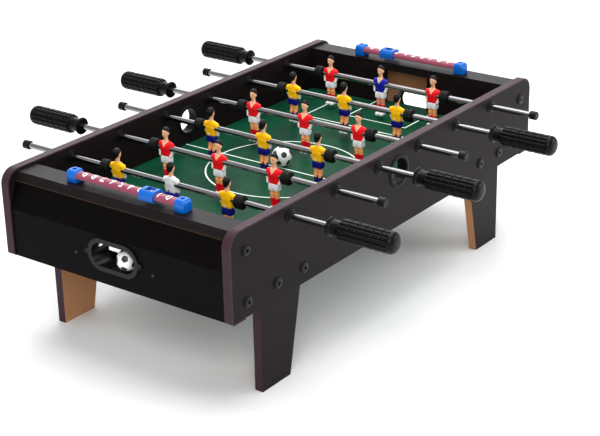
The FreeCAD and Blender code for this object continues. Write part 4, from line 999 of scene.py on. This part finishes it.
class FOOSBALL_OT_counters(bpy.types.Operator):
    """Make the score brackets and numerals, and finish the bars and sliders"""

    bl_idname = "foosball.counters"
    bl_label = "Score counters"

    def execute(self, context):
        colours, sizes = context.scene.foosball_colours, context.scene.foosball_sizes
        blue = plastic_finish("counter_blue", colours.counter, 0.26, specular_ior_level=0.3)
        white = plastic_finish("numeral_white", (0.80, 0.80, 0.80), 0.45)
        bar = bar_finish(colours)
        for end, side in ENDS.items():
            dress(f"{end}_score_bar", bar)
            dress(f"{end}_score_slider", blue)
            piece = self.numerals(end, side, sizes, white)
            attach(piece, "table")
        vertices, faces = self.bracket()
        spots = []
        base, bracket_reach = high_corner("red_ledge")[2], 87.5 * MM
        for end, side in ENDS.items():
            x = middle(f"{end}_score_bar")[0]
            for across in (-1, 1):
                spots.append(((x, across * bracket_reach, base), (0, 0, 0 if across < 0 else math.pi)))
        piece = repeat("score_blocks", object_from("block", vertices, faces), spots, blue)
        tidy_mesh(piece.data, 35)
        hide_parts("score_brackets")
        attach(piece, "table")
        return {"FINISHED"}

    def bracket(self):
        """Rounded block with a screw well in its top, as stacked outlines that go from box to circle."""
        half_x, half_y, height, well_floor, squareness = 9.0, 8.5, 16.0, 6.5, 5
        block = [(0, 0.9), (0.35, 0.97), (1, 1), (9, 1), (11, 0.985), (12.8, 0.94), (14.3, 0.86),
                 (15.4, 0.75), (height, 0.60), (height, 0.45)]
        well = [(height, 3.3), (15.6, 2.9), (well_floor, 2.8)]
        rows = len(block) + len(well)
        segments = 64
        vertices, faces = [(0, 0, 0)], []
        angles = [2 * math.pi * step / segments for step in range(segments)]
        outline = []
        for angle in angles:
            c, s = math.cos(angle), math.sin(angle)
            reach = (abs(c) ** squareness + abs(s) ** squareness) ** (-1 / squareness)
            outline.append((half_x * reach * c, half_y * reach * s))
        for level, share in block:
            vertices += [(x * share * MM, y * share * MM, level * MM) for x, y in outline]
        for level, radius in well:
            vertices += [(radius * math.cos(a) * MM, radius * math.sin(a) * MM, level * MM) for a in angles]
        vertices.append((0, 0, well_floor * MM))
        last = len(vertices) - 1
        for step in range(segments):
            after = (step + 1) % segments
            faces.append((0, 1 + after, 1 + step))
            for row in range(rows - 1):
                a, b = 1 + row * segments, 1 + (row + 1) * segments
                faces.append((a + step, a + after, b + after, b + step))
            top = 1 + (rows - 1) * segments
            faces.append((top + step, top + after, last))
        return vertices, faces

    def numerals(self, end, side, sizes, material):
        """Numbers from 0 to 9 wrapped over the top of a score bar, upright from the field side."""
        x0 = middle(f"{end}_score_bar")[0]
        pitch, middle_value, sunk = 15 * MM, 4.5, 0.15 * MM
        work = bmesh.new()
        for value in range(10):
            curve = bpy.data.curves.new("numeral", "FONT")
            curve.body, curve.size, curve.resolution_u = str(value), sizes.numeral_size, 3
            curve.align_x, curve.align_y = "CENTER", "CENTER"
            holder = linked("numeral", curve)
            bpy.context.view_layer.update()
            flat = bpy.data.meshes.new_from_object(holder)
            place = (value - middle_value) * pitch
            turn = Matrix(((0, -1, 0, 0), (1, 0, 0, place), (0, 0, 1, 0), (0, 0, 0, 1)))
            flat.transform(turn)
            work.from_mesh(flat)
            bpy.data.objects.remove(holder)
        bmesh.ops.remove_doubles(work, verts=work.verts, dist=1e-6)
        for cut in np.arange(-6.6, 6.7, 0.6):
            everything = work.verts[:] + work.edges[:] + work.faces[:]
            bmesh.ops.bisect_plane(work, geom=everything, dist=1e-7, plane_co=(cut * MM, 0, 0),
                                   plane_no=(1, 0, 0))
        extruded = bmesh.ops.extrude_face_region(work, geom=work.faces[:])["geom"]
        lifted = {item for item in extruded if isinstance(item, bmesh.types.BMVert)}
        for vertex in work.verts:
            reach = max(0.0, abs(vertex.co.x) - BAR_FLAT)
            level = BAR_TOP - BAR_ROUNDING + math.sqrt(BAR_ROUNDING ** 2 - reach ** 2)
            vertex.co.z = level + (sizes.numeral_rise if vertex in lifted else -sunk)
            vertex.co.x, vertex.co.y = x0 - side * vertex.co.x, -side * vertex.co.y
        bmesh.ops.recalc_face_normals(work, faces=work.faces)
        mesh = bpy.data.meshes.new(f"{end}_numerals")
        work.to_mesh(mesh)
        work.free()
        mesh.materials.append(material)
        return linked(f"{end}_numerals", mesh)


class FOOSBALL_OT_balls(bpy.types.Operator):
    """Make the two balls with their sewn-look panels"""

    bl_idname = "foosball.balls"
    bl_label = "Balls"

    def execute(self, context):
        white = plastic_finish("ball_white", (0.83, 0.84, 0.84), 0.28)
        black = plastic_finish("ball_black", (0.012, 0.012, 0.014), 0.32)
        facing = {"field_ball": ((-0.52, -0.71, 0.47), (-0.03, -0.88, -0.48)),
                  "tray_ball": ((-0.80, -0.40, 0.45), (-0.30, -0.95, -0.10))}
        for name, (patch, beside) in facing.items():
            radius = (high_corner(name)[0] - low_corner(name)[0]) / 2
            piece = self.panelled(f"{name}_panels", radius, Vector(middle(name)), patch, beside,
                                  (white, black))
            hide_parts(name)
            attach(piece, name)
        return {"FINISHED"}

    def panelled(self, name, radius, centre, patch, beside, materials):
        """Ball of 12 five-sided and 20 six-sided panels, with a shallow seam round each."""
        work = bmesh.new()
        bmesh.ops.create_icosphere(work, subdivisions=1, radius=1.0)
        bmesh.ops.bevel(work, geom=work.verts[:], offset=100 / 3, offset_type="PERCENT", affect="VERTICES",
                        segments=1)
        panels = [[np.array(v.co) for v in face.verts] for face in work.faces]
        work.free()
        first = Vector(min((np.mean(p, axis=0) for p in panels if len(p) == 5),
                           key=lambda c: -c[2])).normalized()
        near = sorted((Vector(np.mean(p, axis=0)).normalized() for p in panels if len(p) == 5),
                      key=lambda c: (c - first).length)[1]
        aim, other = Vector(patch).normalized(), Vector(beside)
        turn = self.basis(aim, other) @ self.basis(first, near).transposed()
        division = 9
        vertices, faces, dark = [], [], []
        for panel in panels:
            middle_point = np.mean(panel, axis=0)
            for index, start in enumerate(panel):
                after = panel[(index + 1) % len(panel)]
                rows = []
                for i in range(division + 1):
                    row = []
                    for j in range(i + 1):
                        edge_share = i / division
                        along = j / i if i else 0
                        rim = start * (1 - along) + after * along
                        point = middle_point * (1 - edge_share) + rim * edge_share
                        point = point / np.linalg.norm(point)
                        sunk = 0.022 * math.exp(-((1 - edge_share) / 0.13) ** 2)
                        row.append(len(vertices))
                        vertices.append(centre + (turn @ Vector(point)) * radius * (1 - sunk))
                    rows.append(row)
                for upper, lower in zip(rows, rows[1:]):
                    for j in range(len(upper)):
                        faces.append((upper[j], lower[j], lower[j + 1]))
                        dark.append(len(panel) == 5)
                        if j + 1 < len(upper):
                            faces.append((upper[j], lower[j + 1], upper[j + 1]))
                            dark.append(len(panel) == 5)
        mesh = bpy.data.meshes.new(name)
        mesh.from_pydata([tuple(v) for v in vertices], [], faces)
        for material in materials:
            mesh.materials.append(material)
        mesh.polygons.foreach_set("material_index", [int(d) for d in dark])
        piece = linked(name, mesh)
        tidy_mesh(mesh, 60)
        return piece

    def basis(self, main, hint):
        side = main.cross(hint).normalized()
        return Matrix((main, side.cross(main), side)).transposed()


class FOOSBALL_OT_stage(bpy.types.Operator):
    """Set up the pale floor, the lights and the camera"""

    bl_idname = "foosball.stage"
    bl_label = "Stage"

    def execute(self, context):
        scene = context.scene
        scene.view_settings.view_transform = "Standard"
        floor = stage_finish("pale_floor", (0.90, 0.90, 0.90), 0.9)
        points = []
        depth, width, bend, rise = 2.2, 4.0, 0.9, 2.6
        rows = [(-3.0, 0.0), (depth, 0.0)]
        for step in range(1, 9):
            turn = math.pi / 2 * step / 8
            rows.append((depth + bend * math.sin(turn), bend - bend * math.cos(turn)))
        rows.append((depth + bend, rise))
        for reach, height in rows:
            for side in (-width, width):
                points.append((reach, side, height))
        faces = [(2 * i, 2 * i + 1, 2 * i + 3, 2 * i + 2) for i in range(len(rows) - 1)]
        turn = Matrix.Rotation(math.radians(37), 4, "Z")
        backdrop = object_from("floor_sweep", moved(np.array(points), turn), faces, [floor])
        world = bpy.data.worlds.new("Studio")
        world.use_nodes = True
        world.node_tree.nodes["Background"].inputs["Color"].default_value = (0.96, 0.97, 1.0, 1)
        world.node_tree.nodes["Background"].inputs["Strength"].default_value = 0.6
        scene.world = world
        lamps = {"overhead": ((0.2, 0.1, 2.2), (0, 0, 0.2), 1.9, 47),
                 "right_front": ((1.5, -2.1, 1.0), (0.2, 0, 0.15), 1.5, 24),
                 "left_front": ((-1.9, -1.3, 1.7), (0, 0, 0.2), 1.2, 31),
                 "behind": ((1.6, 1.5, 1.3), (0, 0, 0.2), 2.0, 20)}
        for name, (place, aim, size, power) in lamps.items():
            data = bpy.data.lights.new(name, "AREA")
            data.size, data.energy = size, power
            lamp = linked(name, data)
            lamp.location = place
            lamp.rotation_euler = (Vector(aim) - Vector(place)).to_track_quat("-Z", "Y").to_euler()
        place, aim = Vector((-1.5889, -1.2163, 0.9412)), Vector((-0.1957, -0.1697, 0.2))
        roll = math.radians(-1.27)
        data = bpy.data.cameras.new("Camera")
        data.lens, data.sensor_width, data.clip_start = 93.6, 36.0, 0.05
        camera = linked("Camera", data)
        camera.location = place
        turn = (aim - place).to_track_quat("-Z", "Y").to_matrix() @ Matrix.Rotation(roll, 3, "Z")
        camera.rotation_euler = turn.to_euler()
        scene.camera = camera
        return {"FINISHED"}


STEPS = (FOOSBALL_OT_stage, FOOSBALL_OT_boards, FOOSBALL_OT_rods, FOOSBALL_OT_players, FOOSBALL_OT_handles,
         FOOSBALL_OT_wall_mouldings, FOOSBALL_OT_fasteners, FOOSBALL_OT_counters, FOOSBALL_OT_balls)


class FOOSBALL_PT_panel(bpy.types.Panel):
    """Lists the pieces of the table and their sizes and colours"""

    bl_idname = "FOOSBALL_PT_panel"
    bl_label = "Foosball table"
    bl_space_type = "VIEW_3D"
    bl_region_type = "UI"
    bl_category = "Foosball"

    def draw(self, context):
        for step in STEPS:
            self.layout.operator(step.bl_idname)
        for group in (context.scene.foosball_sizes, context.scene.foosball_colours):
            box = self.layout.box()
            for name in group.__annotations__:
                box.prop(group, name)


CLASSES = (FoosballColours, FoosballSizes, *STEPS, FOOSBALL_PT_panel)


def register():
    for item in CLASSES:
        bpy.utils.register_class(item)
    bpy.types.Scene.foosball_colours = PointerProperty(type=FoosballColours)
    bpy.types.Scene.foosball_sizes = PointerProperty(type=FoosballSizes)


def unregister():
    del bpy.types.Scene.foosball_sizes
    del bpy.types.Scene.foosball_colours
    for item in reversed(CLASSES):
        bpy.utils.unregister_class(item)


def main():
    register()
    for step in STEPS:
        group, name = step.bl_idname.split(".")
        getattr(getattr(bpy.ops, group), name)()
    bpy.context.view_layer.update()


if __name__ == "__main__":
    main()
